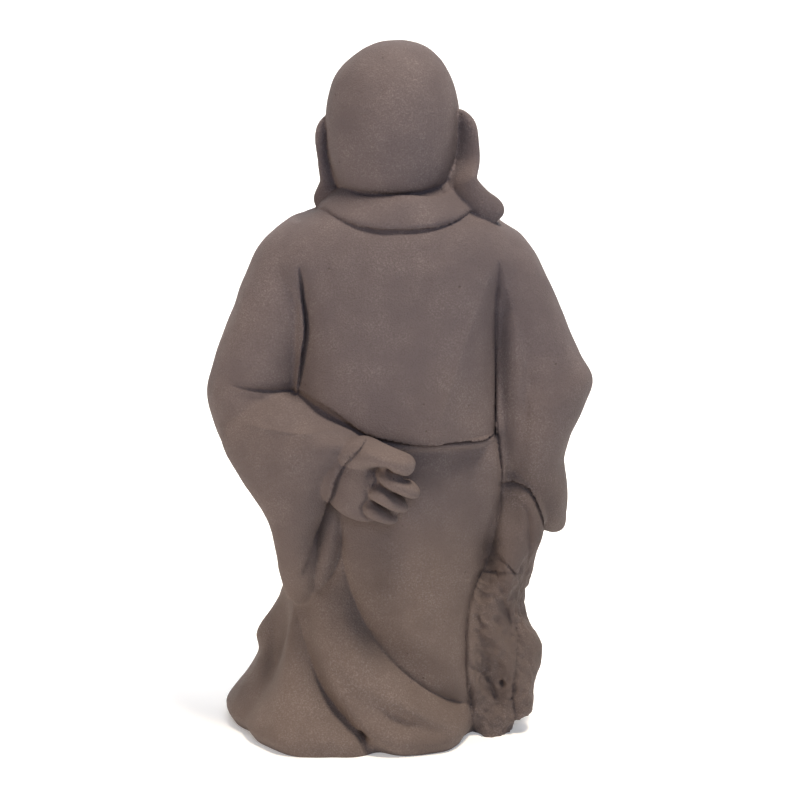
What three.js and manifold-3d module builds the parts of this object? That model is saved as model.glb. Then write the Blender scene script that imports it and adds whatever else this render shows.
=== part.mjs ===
// A standing, smiling buddha garden figure, cast in one piece.
//
// The figure faces -Y, +X is at its left hand and +Z is up. It stands on the flat underside of its robe,
// its feet and a gnarled stump, at Z = 0. Its left arm is bent behind its back with a closed fist, and its
// right hand lies on its bare belly. Every form is a closed skin worked out by a function of two
// parameters, and manifold-3d joins them into one solid.
//
// As on a sculptor's scale, all forms are shares of the figure's height: 1 part is a hundredth of it. A
// side of 1 is the figure's left, at +X, and a side of -1 is its right.

import * as THREE from 'three';
import { mergeVertices } from 'three/addons/utils/BufferGeometryUtils.js';
import Module from 'manifold-3d';

const figure_height = 800;
const stone_colour = 0x6f635e;
const stone_roughness = 0.9;

const part = figure_height / 100;
const full_turn = 360;
const radian = 2 * Math.PI / full_turn;

const wasm = await Module();
wasm.setup();

// Curves

// The values at a place along a row of stations, each [place, value, value, ...], joined by smooth
// Hermite curves.
function along(stations, place) {
  const last = stations.length - 1;
  const at = Math.min(Math.max(place, stations[0][0]), stations[last][0]);
  let i = 0;
  while (i < last - 1 && at > stations[i + 1][0]) i += 1;
  const slope = (k, n) => {
    const before = stations[Math.max(k - 1, 0)];
    const after = stations[Math.min(k + 1, last)];
    return (after[n] - before[n]) / (after[0] - before[0]);
  };
  const [from, to] = [stations[i], stations[i + 1]];
  const span = to[0] - from[0];
  const t = (at - from[0]) / span;
  return from.slice(1).map((value, k) => (2 * t ** 3 - 3 * t ** 2 + 1) * value
    + (t ** 3 - 2 * t ** 2 + t) * span * slope(i, k + 1)
    + (3 * t ** 2 - 2 * t ** 3) * to[k + 1]
    + (t ** 3 - t ** 2) * span * slope(i + 1, k + 1));
}

// A path's points, each with the share of the path's length that lies before it put in front.
function stationed(points) {
  const reach = [0];
  for (let i = 1; i < points.length; i += 1) {
    const step = Math.hypot(...points[i].slice(0, 3).map((value, k) => value - points[i - 1][k]));
    reach.push(reach[i - 1] + step);
  }
  return points.map((point, i) => [reach[i] / reach[points.length - 1], ...point]);
}

// A path that starts in the middle, joined to its own mirror image across X.
function both_sides(half) {
  const mirrored = half.slice(1).map(([x, ...rest]) => [-x, ...rest]);
  return [...mirrored.reverse(), ...half];
}

// Skins

// A closed geometry with shared vertices as a solid with its faces pointing out.
function solid(geometry) {
  const positions = geometry.attributes.position.array;
  const faces = [...geometry.index.array];
  const corner = (k) => new THREE.Vector3().fromArray(positions, 3 * faces[k]);
  let volume = 0;
  for (let k = 0; k < faces.length; k += 3) volume += corner(k).dot(corner(k + 1).cross(corner(k + 2)));
  if (volume < 0) faces.reverse();
  return new wasm.Manifold(new wasm.Mesh({
    numProp: 3,
    vertProperties: new Float32Array(positions),
    triVerts: new Uint32Array(faces),
  }));
}

// A closed skin over a grid: point(around, length) gives one point, in parts, with both from 0 to 1. Each
// end is closed on the middle of its ring, and each square is split along the diagonal that keeps nearer to
// the form.
function skin(point, sides, rings) {
  const corners = [];
  for (let j = 0; j <= rings; j += 1) {
    for (let i = 0; i < sides; i += 1) corners.push(point(i / sides, j / rings));
  }
  const off = (from, to, form) => corners[from].clone().lerp(corners[to], 0.5).distanceTo(form);
  for (const first of [0, rings * sides]) {
    const middle = new THREE.Vector3();
    for (let i = 0; i < sides; i += 1) middle.add(corners[first + i]);
    corners.push(middle.divideScalar(sides));
  }
  const [start, end] = [corners.length - 2, corners.length - 1];
  const faces = [];
  for (let i = 0; i < sides; i += 1) {
    const next = (i + 1) % sides;
    faces.push(start, next, i);
    for (let j = 0; j < rings; j += 1) {
      const [a, b] = [j * sides + i, j * sides + next];
      const [c, d] = [b + sides, a + sides];
      const form = point((i + 0.5) / sides, (j + 0.5) / rings);
      faces.push(...(off(a, c, form) <= off(b, d, form) ? [a, b, c, a, c, d] : [a, b, d, b, c, d]));
    }
    faces.push(end, rings * sides + i, rings * sides + next);
  }
  const geometry = new THREE.BufferGeometry().setFromPoints(corners);
  geometry.setIndex(faces);
  return geometry.scale(part, part, part);
}

// A form stacked upwards from level sections [height, middle x, middle y, half width, half depth, turn in
// degrees]. Each section is a superellipse of the given power. swell(angle, height) is what carving adds to
// its radius, with the angle in degrees from +X. A crowding above 1 sets the rings closer together lower
// down.
function stack(sections, sides, rings, { power = 2.2, swell = () => 0, crowding = 1 } = {}) {
  const [low, high] = [sections[0][0], sections[sections.length - 1][0]];
  return skin((around, length) => {
    const height = low + (high - low) * length ** crowding;
    const [x, y, width, depth, turn = 0] = along(sections, height);
    const angle = around * 2 * Math.PI;
    const [c, s] = [Math.cos(angle), Math.sin(angle)];
    const reach = 1 / (Math.abs(c) ** power + Math.abs(s) ** power) ** (1 / power);
    const carved = swell(around * full_turn, height);
    const [across, back] = [c * (reach * width + carved), s * (reach * depth + carved)];
    const [ct, st] = [Math.cos(turn * radian), Math.sin(turn * radian)];
    return new THREE.Vector3(x + across * ct - back * st, y + across * st + back * ct, height);
  }, sides, rings);
}

// A form with round ends swept along a path of [x, y, z, half width, half thickness]. facing(point) is the
// way that the thickness faces there, and the width lies square to it and to the path. The higher blunt is,
// the shorter the round ends are.
function sweep(points, facing, sides, rings, { blunt = 6 } = {}) {
  const path = stationed(points);
  const at = (t) => new THREE.Vector3(...along(path, t));
  return skin((around, length) => {
    const t = (1 - Math.cos(Math.PI * length)) / 2;
    const ahead = at(Math.min(t + 0.01, 1)).sub(at(Math.max(t - 0.01, 0))).normalize();
    const [x, y, z, width, thickness] = along(path, t);
    const point = new THREE.Vector3(x, y, z);
    const side = new THREE.Vector3().crossVectors(ahead, facing(point)).normalize();
    const face = new THREE.Vector3().crossVectors(side, ahead);
    const closing = Math.sqrt(Math.max(1 - Math.abs(2 * t - 1) ** blunt, 0.001));
    const angle = around * 2 * Math.PI;
    return point.addScaledVector(side, width * closing * Math.cos(angle))
      .addScaledVector(face, thickness * closing * Math.sin(angle));
  }, sides, rings);
}

// A ball squashed to three half sizes.
function ball([x, y, z], [width, depth, height], sides, rings) {
  return skin((around, length) => {
    const rise = Math.PI * (0.98 * length - 0.49);
    const angle = around * 2 * Math.PI;
    return new THREE.Vector3(
      x + width * Math.cos(rise) * Math.cos(angle),
      y + depth * Math.cos(rise) * Math.sin(angle),
      z + height * Math.sin(rise),
    );
  }, sides, rings);
}

// A form with what stands out of a plane planed off. A height h over the plane becomes
// -rounding * log(1 + exp(-h / rounding)), which is h far below it and 0 far above.
function planed(form, point, normal, rounding) {
  const facing = new THREE.Vector3(...normal).normalize();
  const plane = new THREE.Vector3(...point).dot(facing) * part;
  const round = rounding * part;
  const places = form.attributes.position;
  for (let i = 0; i < places.count; i += 1) {
    const place = new THREE.Vector3().fromBufferAttribute(places, i);
    const height = place.dot(facing) - plane;
    const kept = Math.min(height, 0) - round * Math.log1p(Math.exp(-Math.abs(height) / round));
    place.addScaledVector(facing, kept - height);
    places.setXYZ(i, place.x, place.y, place.z);
  }
  return form;
}

const back = () => new THREE.Vector3(0, 1, 0);
const front = () => new THREE.Vector3(0, -1, 0);
const outward = ({ x, y }) => new THREE.Vector3(x, y - 0.5, 4.5);

// Robe

// Each fold of the skirt runs up a line of [height, angle, lift]. A lift below 0 is a valley. The fold
// fades over its half width.
const skirt_radius = 17;
const skirt_folds = [
  { half_width: 4.2, line: [[0, 149, -2.6], [4, 138, -2], [11, 110, -1.8], [19, 75, -1.5], [32, 56, 0]] },
  { half_width: 2.0, line: [[0, 97, -2.2], [3.7, 82, -1.8], [7, 70, -1.6], [13, 50, -1.2], [23, 40, 0]] },
  { half_width: 3.0, line: [[0, 128, 0.3], [4.7, 117, 0.8], [8.7, 92, 1.2], [14, 69, 1.1], [25, 48, 0]] },
  { half_width: 3.2, line: [[0, 62, 1.4], [7, 50, 1.0], [14, 40, 0.8], [20, 37, 0]] },
  { half_width: 3.0, line: [[0, 26, -1.2], [7, 27, -1.3], [13, 24, -1.5], [17, 21, -0.9], [21, 19, 0]] },
  { half_width: 3.0, line: [[0, -10, 0.6], [5, -6, 0.2], [9.6, -5, 0.2], [12.6, -4, 1.9], [18, -2, 0]] },
  { half_width: 2.8, line: [[0, 322, -1.3], [9, 316, -1.1], [18, 308, -0.5], [27, 302, 0]] },
  { half_width: 3.0, line: [[0, 300, 1.1], [9, 297, 0.9], [20, 290, 0.4], [27, 286, 0]] },
  { half_width: 2.6, line: [[0, 279, -1.6], [10, 276, -1.2], [20, 273, -0.6], [28, 271, 0]] },
  { half_width: 2.8, line: [[0, 258, 0.9], [9, 259, 0.8], [20, 262, 0.3], [27, 264, 0]] },
  { half_width: 2.8, line: [[0, 236, -1.3], [9, 240, -1.1], [18, 245, -0.5], [27, 250, 0]] },
  { half_width: 4.0, line: [[28, 150, 0], [36, 148, 1.8], [45.6, 147, 2.4]] },
];

function skirt_swell(angle, height) {
  return skirt_folds.reduce((sum, { half_width, line }) => {
    const [centre, lift] = along(line, height);
    const turn = (angle - centre + 1.5 * full_turn) % full_turn - full_turn / 2;
    const away = turn * radian * skirt_radius / half_width;
    return sum + lift * Math.exp(-away * away);
  }, 0);
}

const skirt = () => stack([
  [-1, 5.0, 2.0, 18.4, 16.8],
  [0, 5.0, 2.0, 19.3, 17.4],
  [2.3, 4.7, 2.0, 20.8, 17.9],
  [6, 4.0, 1.8, 19.0, 16.4],
  [12, 2.6, 1.2, 17.0, 14.8],
  [20, 1.8, 0.6, 15.4, 13.6],
  [30, 0.9, 0.2, 15.2, 13.0],
  [38, 0.2, 0.2, 15.4, 13.0],
  [45.6, 0.0, 0.2, 15.2, 12.8],
], 44, 15, { swell: skirt_swell, crowding: 1.3 });

// The jacket ends in a loose hem at the back, and its yoke fills out the shoulders between the arms.
const jacket = () => [
  stack([
    [43.6, -0.2, 0.4, 15.4, 13.4],
    [44.8, -0.2, 0.4, 16.4, 14.4],
    [47, 0.0, 0.4, 16.6, 14.6],
    [53, 0.0, 0.4, 16.2, 14.0],
    [60, 0.2, 0.4, 16.2, 13.2],
    [68, 0.3, 0.6, 16.8, 12.0],
    [72.5, 0.3, 0.8, 15.8, 10.6],
    [75, 0.2, 1.0, 13.4, 9.2],
    [77.5, 0.2, 1.0, 9.4, 7.6],
    [79, 0.2, 1.0, 7.0, 6.4],
  ], 26, 10, { power: 2.6 }),
  stack([
    [60, 0.3, 0.6, 17.4, 8.4],
    [65, 0.3, 0.7, 18.8, 10.2],
    [69, 0.4, 0.8, 18.9, 10.8],
    [72, 0.4, 0.9, 17.2, 10.3],
    [74.6, 0.3, 1.0, 14.4, 9.2],
    [76.4, 0.2, 1.0, 11.0, 7.8],
  ], 20, 5, { power: 2.8 }),
];

// The collar's band leans on the neck, and runs down both edges of the open robe to the sash.
const neck = () => ball([0.4, 1.4, 75.8], [9.6, 8.6, 4.2], 14, 7);
const lapel = [
  [0.2, 9.6, 76.9, 2.1, 0.8],
  [5.8, 8.1, 77.1, 2.1, 0.8],
  [9.2, 4.0, 77.8, 2.0, 0.8],
  [10.0, -2.6, 76.0, 2.1, 1.0],
  [9.6, -7.4, 71.6, 2.0, 1.1],
  [10.4, -9.8, 65.0, 2.0, 1.0],
  [12.2, -10.8, 57.0, 2.0, 1.1],
  [13.6, -12.6, 49.0, 2.0, 1.2],
  [13.0, -13.0, 42.0, 2.0, 1.3],
  [9.4, -12.3, 35.6, 2.0, 1.3],
  [3.0, -13.4, 31.4, 1.8, 1.1],
];

// The way that the collar faces. From the chest up it lies down flatter, the further out the more.
const [chest_height, shoulder_height] = [74, 77];
function collar_facing({ x, y, z }) {
  const share = Math.min(Math.max((z - chest_height) / (shoulder_height - chest_height), 0), 1);
  return new THREE.Vector3(x, y - 0.5, 4.5 + 0.8 * share * Math.abs(x));
}
const collar = () => sweep(both_sides(lapel), collar_facing, 8, 32, { blunt: 40 });

// The sash goes round the waist to a knot below the belly, and its two ends hang down the skirt.
function sash() {
  const half = [
    [0, -13.8, 31.2, 1.5, 1.3],
    [7, -12.4, 32.0, 1.5, 1.2],
    [13, -8.4, 34.0, 1.4, 1.0],
    [16, -1.5, 36.0, 1.2, 0.8],
  ];
  const tail = ([x, y, z]) => sweep([
    [0.2 * x, -14.2, 30.6, 1.2, 0.9],
    [0.6 * x, y - 0.3, (z + 30.6) / 2, 1.5, 1.0],
    [x, y, z, 1.9, 1.1],
  ], front, 6, 6);
  return [
    sweep(both_sides(half), outward, 8, 16),
    ball([0.2, -15.0, 31.2], [2.1, 1.5, 1.8], 8, 5),
    tail([2.8, -12.8, 20]),
    tail([-2.6, -13.0, 23]),
  ];
}

// Arms

// The sleeve hangs from the right arm, with a fold down its back.
const right_arm = () => [
  stack([
    [27.9, -22.7, -1.0, 0.6, 1.2],
    [28.7, -22.6, -1.0, 1.8, 3.4],
    [31, -22.0, -1.0, 2.6, 6.0],
    [35, -20.8, -0.8, 3.9, 8.0],
    [39.5, -19.4, -0.4, 4.7, 9.0],
    [43.5, -19.3, 0.0, 5.9, 9.4],
    [48.5, -20.2, 0.2, 7.2, 9.2],
    [51.8, -20.8, 0.4, 7.2, 8.4],
    [55, -19.6, 0.6, 6.5, 7.8],
    [61, -17.5, 0.8, 6.1, 7.4],
    [68, -14.4, 0.8, 6.0, 7.4],
    [72, -11.8, 0.8, 5.9, 6.8],
    [74.6, -9.6, 0.8, 4.6, 5.6],
  ], 16, 15),
  sweep([
    [-15.0, 4.4, 67, 1.0, 2.6],
    [-15.8, 5.6, 60, 2.0, 3.2],
    [-16.2, 6.2, 52, 2.4, 3.4],
    [-16.7, 6.4, 45, 2.7, 3.2],
    [-17.6, 5.6, 38.6, 2.8, 2.8],
  ], back, 8, 7),
  sweep([
    [-20.6, 2.0, 48.6, 5.6, 4.6],
    [-19.0, -6.4, 46.6, 6.0, 4.4],
    [-15.2, -12.8, 46.0, 5.6, 3.6],
    [-12.2, -15.8, 46.4, 5.4, 3.2],
  ], ({ x, y }) => new THREE.Vector3(x, y, 2), 10, 7, { blunt: 40 }),
];

const left_arm = () => stack([
  [36, 17.6, 3.2, 3.0, 4.4],
  [39, 18.0, 3.0, 5.4, 6.6],
  [42, 18.9, 2.8, 6.5, 7.6],
  [45.5, 20.0, 2.4, 6.9, 8.2],
  [49.5, 20.8, 2.0, 7.0, 8.4],
  [54, 20.2, 1.6, 6.7, 8.4],
  [61, 18.0, 1.2, 6.3, 8.0],
  [68, 15.3, 0.9, 6.2, 7.4],
  [72, 13.0, 0.8, 6.2, 7.0],
  [74.8, 10.6, 0.8, 5.0, 5.8],
], 16, 10);

// The left sleeve hangs from the forearm in a long tongue, flat on top where the forearm fills it. The far
// wall of its mouth is set back behind the hand.
const left_sleeve = () => [
  planed(stack([
    [19.8, 14.2, 8.4, 0.9, 0.9, -20],
    [20.6, 14.1, 8.5, 2.1, 1.9, -20],
    [24, 14.2, 8.9, 2.9, 2.9, -22],
    [30.7, 14.9, 10.2, 3.2, 3.6, -24],
    [34.4, 15.0, 10.2, 4.6, 4.4, -25],
    [38, 15.8, 9.9, 6.8, 5.0, -26],
    [42, 16.1, 9.9, 9.2, 5.5, -28],
    [45, 15.6, 9.6, 11.2, 5.8, -30],
    [47.6, 15.4, 9.0, 11.4, 5.4, -30],
    [49.6, 15.8, 8.2, 10.2, 4.4, -30],
    [51, 16.4, 7.0, 8.2, 2.8, -30],
  ], 18, 12, { power: 2.4 }), [14, 15.4, 47.6], [-0.2, 0.5, 1], 0.5),
  sweep([
    [9.7, 10.2, 37, 1.6, 2.0],
    [9.9, 10.3, 32, 1.8, 2.0],
    [10.3, 10.1, 28, 1.9, 2.0],
    [11.3, 9.6, 24.6, 2.0, 1.9],
    [13.6, 8.9, 22.0, 1.7, 1.6],
  ], back, 8, 8),
];

// Hands

// The left hand behind the back: the palm, the thumb flat along its top, and the fingers curled into the
// palm, from the forefinger down.
const curled = [
  [[2.4, 16.6, 41.0, 1.0, 1.2], [1.6, 17.9, 40.6, 1.15, 1.5], [-0.3, 18.4, 39.7, 1.15, 1.6],
    [-1.8, 17.4, 38.9, 1.1, 1.7], [-2.3, 15.2, 38.5, 1.0, 1.8]],
  [[3.8, 16.3, 39.0, 1.0, 1.3], [3.0, 17.6, 38.5, 1.15, 1.5], [1.4, 17.9, 37.6, 1.15, 1.6],
    [0.2, 17.0, 36.8, 1.1, 1.7], [-0.4, 14.8, 36.4, 1.0, 1.8]],
  [[4.5, 15.8, 36.3, 0.9, 1.2], [3.9, 16.8, 36.0, 1.05, 1.4], [2.8, 17.1, 35.4, 1.05, 1.5],
    [1.9, 16.2, 34.9, 1.0, 1.6], [1.3, 14.6, 34.6, 0.9, 1.6]],
];
const fist = () => [
  sweep([
    [11.6, 11.8, 41.6, 4.4, 2.8],
    [8.2, 13.6, 40.8, 5.2, 3.0],
    [4.8, 14.9, 39.5, 5.8, 2.8],
    [2.0, 15.0, 38.9, 5.0, 2.6],
    [-0.6, 14.6, 39.2, 4.2, 2.5],
  ], back, 12, 8),
  planed(sweep([
    [8.0, 14.8, 43.4, 2.4, 2.4],
    [4.6, 16.9, 44.2, 2.2, 2.0],
    [2.2, 18.0, 44.0, 2.0, 1.9],
    [-0.3, 18.2, 43.0, 1.9, 1.9],
    [-2.0, 17.7, 42.3, 1.7, 1.8],
  ], back, 8, 7, { blunt: 8 }), [1.0, 18.0, 44.8], [-0.2, 0.45, 1], 0.15),
  ...curled.map((finger) => sweep(finger, back, 7, 6, { blunt: 8 })),
];

// The right hand, laid flat on the side of the belly.
function belly_hand() {
  const finger = (rise, reach) => sweep([
    [-7.6, -18.3, 47.2 + rise, 1.2, 1.1],
    [-4.6, -20.0, 46.9 + 1.25 * rise, 1.1, 1.1],
    [-4.6 + reach, -20.4, 46.6 + 1.35 * rise, 0.9, 0.8],
  ], front, 5, 4);
  return [
    sweep([
      [-12.4, -15.4, 46.9, 3.2, 2.2],
      [-9.4, -17.6, 47.0, 3.8, 1.7],
      [-6.4, -19.2, 46.9, 3.6, 1.3],
    ], front, 10, 5),
    ...[[3.0, 2.2], [1.0, 3.2], [-1.1, 3.0], [-3.0, 1.8]].map(([rise, reach]) => finger(rise, reach)),
    sweep([
      [-11.0, -16.8, 49.6, 1.3, 1.2],
      [-8.4, -17.8, 52.2, 1.2, 1.1],
      [-6.0, -18.2, 53.2, 1.0, 0.9],
    ], front, 6, 4),
  ];
}

// Body

const belly = () => ball([0, -6.2, 46.5], [15.2, 13.8, 14.6], 18, 10);
const chest = () => ball([0, -4.4, 64.5], [13.6, 9.6, 10.6], 16, 8);
const breast = (side) => ball([side * 5.4, -8.9, 63.8], [6.6, 5.2, 5.2], 10, 5);
const throat = () => ball([0.6, -3.2, 75.0], [7.6, 7.0, 4.2], 10, 5);

// Each toe is [how far out from the middle of the foot it lies, how far on, half width].
const toes = [[-2.3, 5.9, 1.25], [-0.7, 6.4, 1.0], [0.7, 6.2, 0.9], [1.9, 5.6, 0.85], [2.9, 4.8, 0.8]];
function foot(side) {
  const [x, y] = [5.2 + side * 6.4, -11.6];
  return [
    ball([x, y, 0.2], [3.4, 6.2, 3.0], 8, 5),
    ...toes.map(([out, on, half]) => ball([x + side * out, y - on, 0.5], [half, 1.5 * half, half], 5, 3)),
  ];
}

// The gnarled stump under the right sleeve, with ridges that wind up it.
const stump_swell = (angle, height) => 0.45 * Math.cos(3 * (angle - 4 * height) * radian)
  + 0.35 * Math.sin(5 * angle * radian + height / 2);
const stump = () => stack([
  [-1, -12.8, 5.2, 3.7, 5.6],
  [0, -12.8, 5.2, 3.8, 5.8],
  [1.5, -12.9, 5.0, 3.9, 5.9],
  [2.5, -14.4, 4.6, 4.9, 6.2],
  [4, -14.6, 4.2, 5.1, 6.4],
  [8, -14.8, 3.6, 5.4, 7.0],
  [12.5, -14.8, 3.4, 5.4, 7.0],
  [18, -13.8, 3.2, 4.2, 6.2],
  [24, -15.4, 3.2, 4.2, 5.8],
  [31, -16.8, 3.0, 4.8, 5.8],
  [37, -17.4, 2.8, 4.2, 5.2],
  [40, -17.2, 2.6, 2.6, 3.6],
], 16, 12, { swell: stump_swell });

// Head

const head_turn = -9;
const head_shift = 0.9;

// A form of the head, turned and moved with it.
const on_head = (form) => form.rotateZ(head_turn * radian).translate(head_shift * part, 0, 0);

const skull = () => stack([
  [76.2, 0, -1.8, 4.6, 5.8],
  [78.2, 0, -1.4, 7.4, 8.2],
  [81, 0, -0.6, 8.7, 9.4],
  [85, 0, 0, 9.4, 10.0],
  [89, 0, 0.3, 9.5, 10.2],
  [93, 0, 0.5, 8.9, 9.4],
  [96.4, -0.2, 0.6, 7.4, 7.6],
  [98.8, -0.5, 0.6, 4.9, 4.9],
  [99.7, -0.5, 0.6, 3.1, 3.0],
  [100, -0.4, 0.6, 1.5, 1.4],
], 20, 14, { power: 2.05 });

// Each ear hangs close to the head and ends in a long lobe. The right lobe flares out over the shoulder.
const left_ear = () => sweep([
  [8.9, 1.4, 89.6, 1.8, 0.8],
  [9.2, 1.2, 87.2, 2.9, 0.9],
  [8.6, 1.0, 83.4, 2.9, 1.0],
  [8.3, 1.0, 79.8, 2.8, 1.2],
  [9.8, 0.8, 77.0, 2.4, 1.4],
  [10.6, 0.6, 75.8, 1.9, 1.5],
], () => new THREE.Vector3(-0.8, 0.6, 0), 8, 9);
const right_ear = () => sweep([
  [-9.6, 0.9, 90.6, 1.9, 0.9],
  [-10.3, 0.75, 87.6, 2.9, 1.0],
  [-10.3, 0.7, 83.4, 3.1, 1.1],
  [-10.3, 0.5, 79.8, 3.6, 1.3],
  [-13.0, 0.0, 77.3, 2.7, 1.7],
  [-16.2, -0.2, 76.1, 2.0, 1.8],
], () => new THREE.Vector3(0.65, 0.75, 0), 8, 9);

const nose = () => sweep([
  [0, -9.3, 89.2, 0.9, 0.9],
  [0, -10.6, 86.6, 1.0, 1.1],
  [0, -11.2, 84.8, 1.5, 1.4],
], front, 6, 4);
const nostril = (side) => ball([side * 1.6, -10.2, 84.4], [1.0, 1.0, 0.8], 5, 3);
const cheek = (side) => ball([side * 4.5, -6.9, 83.2], [3.1, 2.9, 2.8], 8, 5);
const eyelid = (side) => ball([side * 3.8, -8.6, 87.2], [2.2, 1.4, 1.2], 6, 3);
const brow = (side) => sweep([
  [side * 6.8, -7.0, 88.9, 0.5, 0.5],
  [side * 4.0, -9.2, 90.2, 0.8, 0.6],
  [side * 1.2, -9.8, 89.2, 0.5, 0.5],
], front, 4, 4);
const upper_lip = [[0, -10.1, 81.2, 0.7, 0.8], [4.2, -8.6, 82.6, 0.4, 0.6]];
const lower_lip = [[0, -9.8, 80.0, 0.9, 0.9], [3.0, -8.9, 81.4, 0.5, 0.6]];
const lips = () => [upper_lip, lower_lip].map((half) => sweep(both_sides(half), front, 5, 5));
const chin = () => ball([0, -7.2, 78.6], [3.8, 2.5, 2.0], 8, 4);
const face = () => [
  nose(), ...lips(), chin(),
  ...[1, -1].flatMap((side) => [nostril(side), cheek(side), eyelid(side), brow(side)]),
];

const head = () => [skull(), left_ear(), right_ear(), ...face()].map(on_head);

// The whole figure

// What lies below the floor, as a block that cuts the underside flat.
const ground_width = figure_height;
const ground_depth = ground_width / 5;
function ground() {
  const block = new THREE.BoxGeometry(ground_width, ground_width, ground_depth);
  block.translate(0, 0, -ground_depth / 2);
  block.deleteAttribute('normal');
  block.deleteAttribute('uv');
  return mergeVertices(block);
}

const figure = [
  skirt(), ...jacket(), neck(), collar(), ...sash(), belly(), chest(), breast(1), breast(-1), throat(),
  ...right_arm(), left_arm(), ...left_sleeve(), ...fist(), ...belly_hand(),
  ...foot(1), ...foot(-1), stump(), ...head(),
].map(solid).reduce((all, form) => all.add(form)).subtract(solid(ground())).getMesh();

const geometry = new THREE.BufferGeometry();
geometry.setAttribute('position', new THREE.BufferAttribute(figure.vertProperties, 3));
geometry.setIndex(new THREE.BufferAttribute(figure.triVerts, 1));
geometry.computeBoundingBox();

// The origin is the middle of the figure's outline, on the floor.
const middle = geometry.boundingBox.getCenter(new THREE.Vector3());
geometry.translate(-middle.x, -middle.y, 0);

const stone = new THREE.MeshStandardMaterial({
  color: stone_colour,
  roughness: stone_roughness,
  metalness: 0,
});
const cast = new THREE.Mesh(geometry, stone);
cast.name = 'buddha_figure';

const statue = new THREE.Group();
statue.add(cast);
export default statue;
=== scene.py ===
"""The looks of a standing, smiling buddha garden figure, cast in one piece of stone-grey cement.

Every form of the figure is a closed surface worked out by numpy on a grid of two parameters. The big forms
are fused into one skin and softened where they flow into each other, then the fine forms are added, and
folds, creases and gouges are carved into the skin with strokes. All forms are shares of the figure's height:
1 part is a hundredth of it. The figure faces -Y, and +X is at its left hand.
"""

from __future__ import annotations

import logging
import math
from dataclasses import dataclass, field
from enum import Enum
from typing import Callable, Sequence

import bpy
import numpy as np
from mathutils import Matrix, Vector

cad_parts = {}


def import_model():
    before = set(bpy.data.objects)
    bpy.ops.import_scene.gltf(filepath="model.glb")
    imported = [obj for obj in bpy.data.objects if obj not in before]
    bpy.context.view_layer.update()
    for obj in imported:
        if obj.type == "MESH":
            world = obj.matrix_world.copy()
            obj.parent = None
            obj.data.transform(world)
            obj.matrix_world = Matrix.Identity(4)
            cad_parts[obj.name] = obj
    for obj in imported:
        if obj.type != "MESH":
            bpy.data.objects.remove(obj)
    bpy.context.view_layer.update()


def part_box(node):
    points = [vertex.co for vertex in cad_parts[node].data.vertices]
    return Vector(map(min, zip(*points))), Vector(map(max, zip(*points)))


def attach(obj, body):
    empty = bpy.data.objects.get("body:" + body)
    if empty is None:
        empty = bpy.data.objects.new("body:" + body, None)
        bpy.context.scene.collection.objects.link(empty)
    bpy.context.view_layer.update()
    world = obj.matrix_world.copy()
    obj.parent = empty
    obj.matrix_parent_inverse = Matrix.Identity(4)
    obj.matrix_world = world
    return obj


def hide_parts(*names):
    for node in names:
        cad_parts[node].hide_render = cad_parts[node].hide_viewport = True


log = logging.getLogger("buddha")

Rows = Sequence[Sequence[float]]
Swell = Callable[[np.ndarray, np.ndarray], np.ndarray]

NODE = "buddha_figure"
PARTS_IN_HEIGHT = 100


def linked(name: str, data: bpy.types.ID) -> bpy.types.Object:
    """Makes an object of its data and links it to the scene."""
    item = bpy.data.objects.new(name, data)
    bpy.context.scene.collection.objects.link(item)
    return item


# Curves


def along(stations: Rows, places: np.ndarray) -> np.ndarray:
    """Gives the values at places along stations, joined by smooth Hermite curves.

    Args:
        stations: Rows of a place and its values, in order of place.
        places: Where the values are wanted, in any shape.

    Returns:
        An array of the places' shape with one more axis, for the values.
    """
    table = np.asarray(stations, float)
    last = len(table) - 1
    index = np.arange(last + 1)
    before, after = np.maximum(index - 1, 0), np.minimum(index + 1, last)
    slope = (table[after, 1:] - table[before, 1:]) / (table[after, :1] - table[before, :1])
    at = np.clip(np.asarray(places, float), table[0, 0], table[-1, 0])
    i = np.clip(np.searchsorted(table[:, 0], at) - 1, 0, last - 1)
    span = (table[i + 1, 0] - table[i, 0])[..., None]
    t = (at - table[i, 0])[..., None] / span
    return (
        (2 * t**3 - 3 * t**2 + 1) * table[i, 1:]
        + (t**3 - 2 * t**2 + t) * span * slope[i]
        + (3 * t**2 - 2 * t**3) * table[i + 1, 1:]
        + (t**3 - t**2) * span * slope[i + 1]
    )


def stationed(points: Rows) -> np.ndarray:
    """Puts in front of each point of a path the share of the path's length that lies before it."""
    path = np.asarray(points, float)
    steps = np.linalg.norm(np.diff(path[:, :3], axis=0), axis=1)
    reach = np.concatenate([[0.0], np.cumsum(steps)])
    return np.column_stack([reach / reach[-1], path])


def both_sides(half: Rows) -> list[list[float]]:
    """Joins a path that starts in the middle to its own mirror image across X."""
    mirrored = [[-row[0], *row[1:]] for row in half[1:]]
    return [*reversed(mirrored), *[list(row) for row in half]]


def unit(vectors: np.ndarray) -> np.ndarray:
    """Scales vectors, along the last axis, to a length of 1."""
    return vectors / np.maximum(np.linalg.norm(vectors, axis=-1, keepdims=True), 1e-12)


# Surfaces


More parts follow.
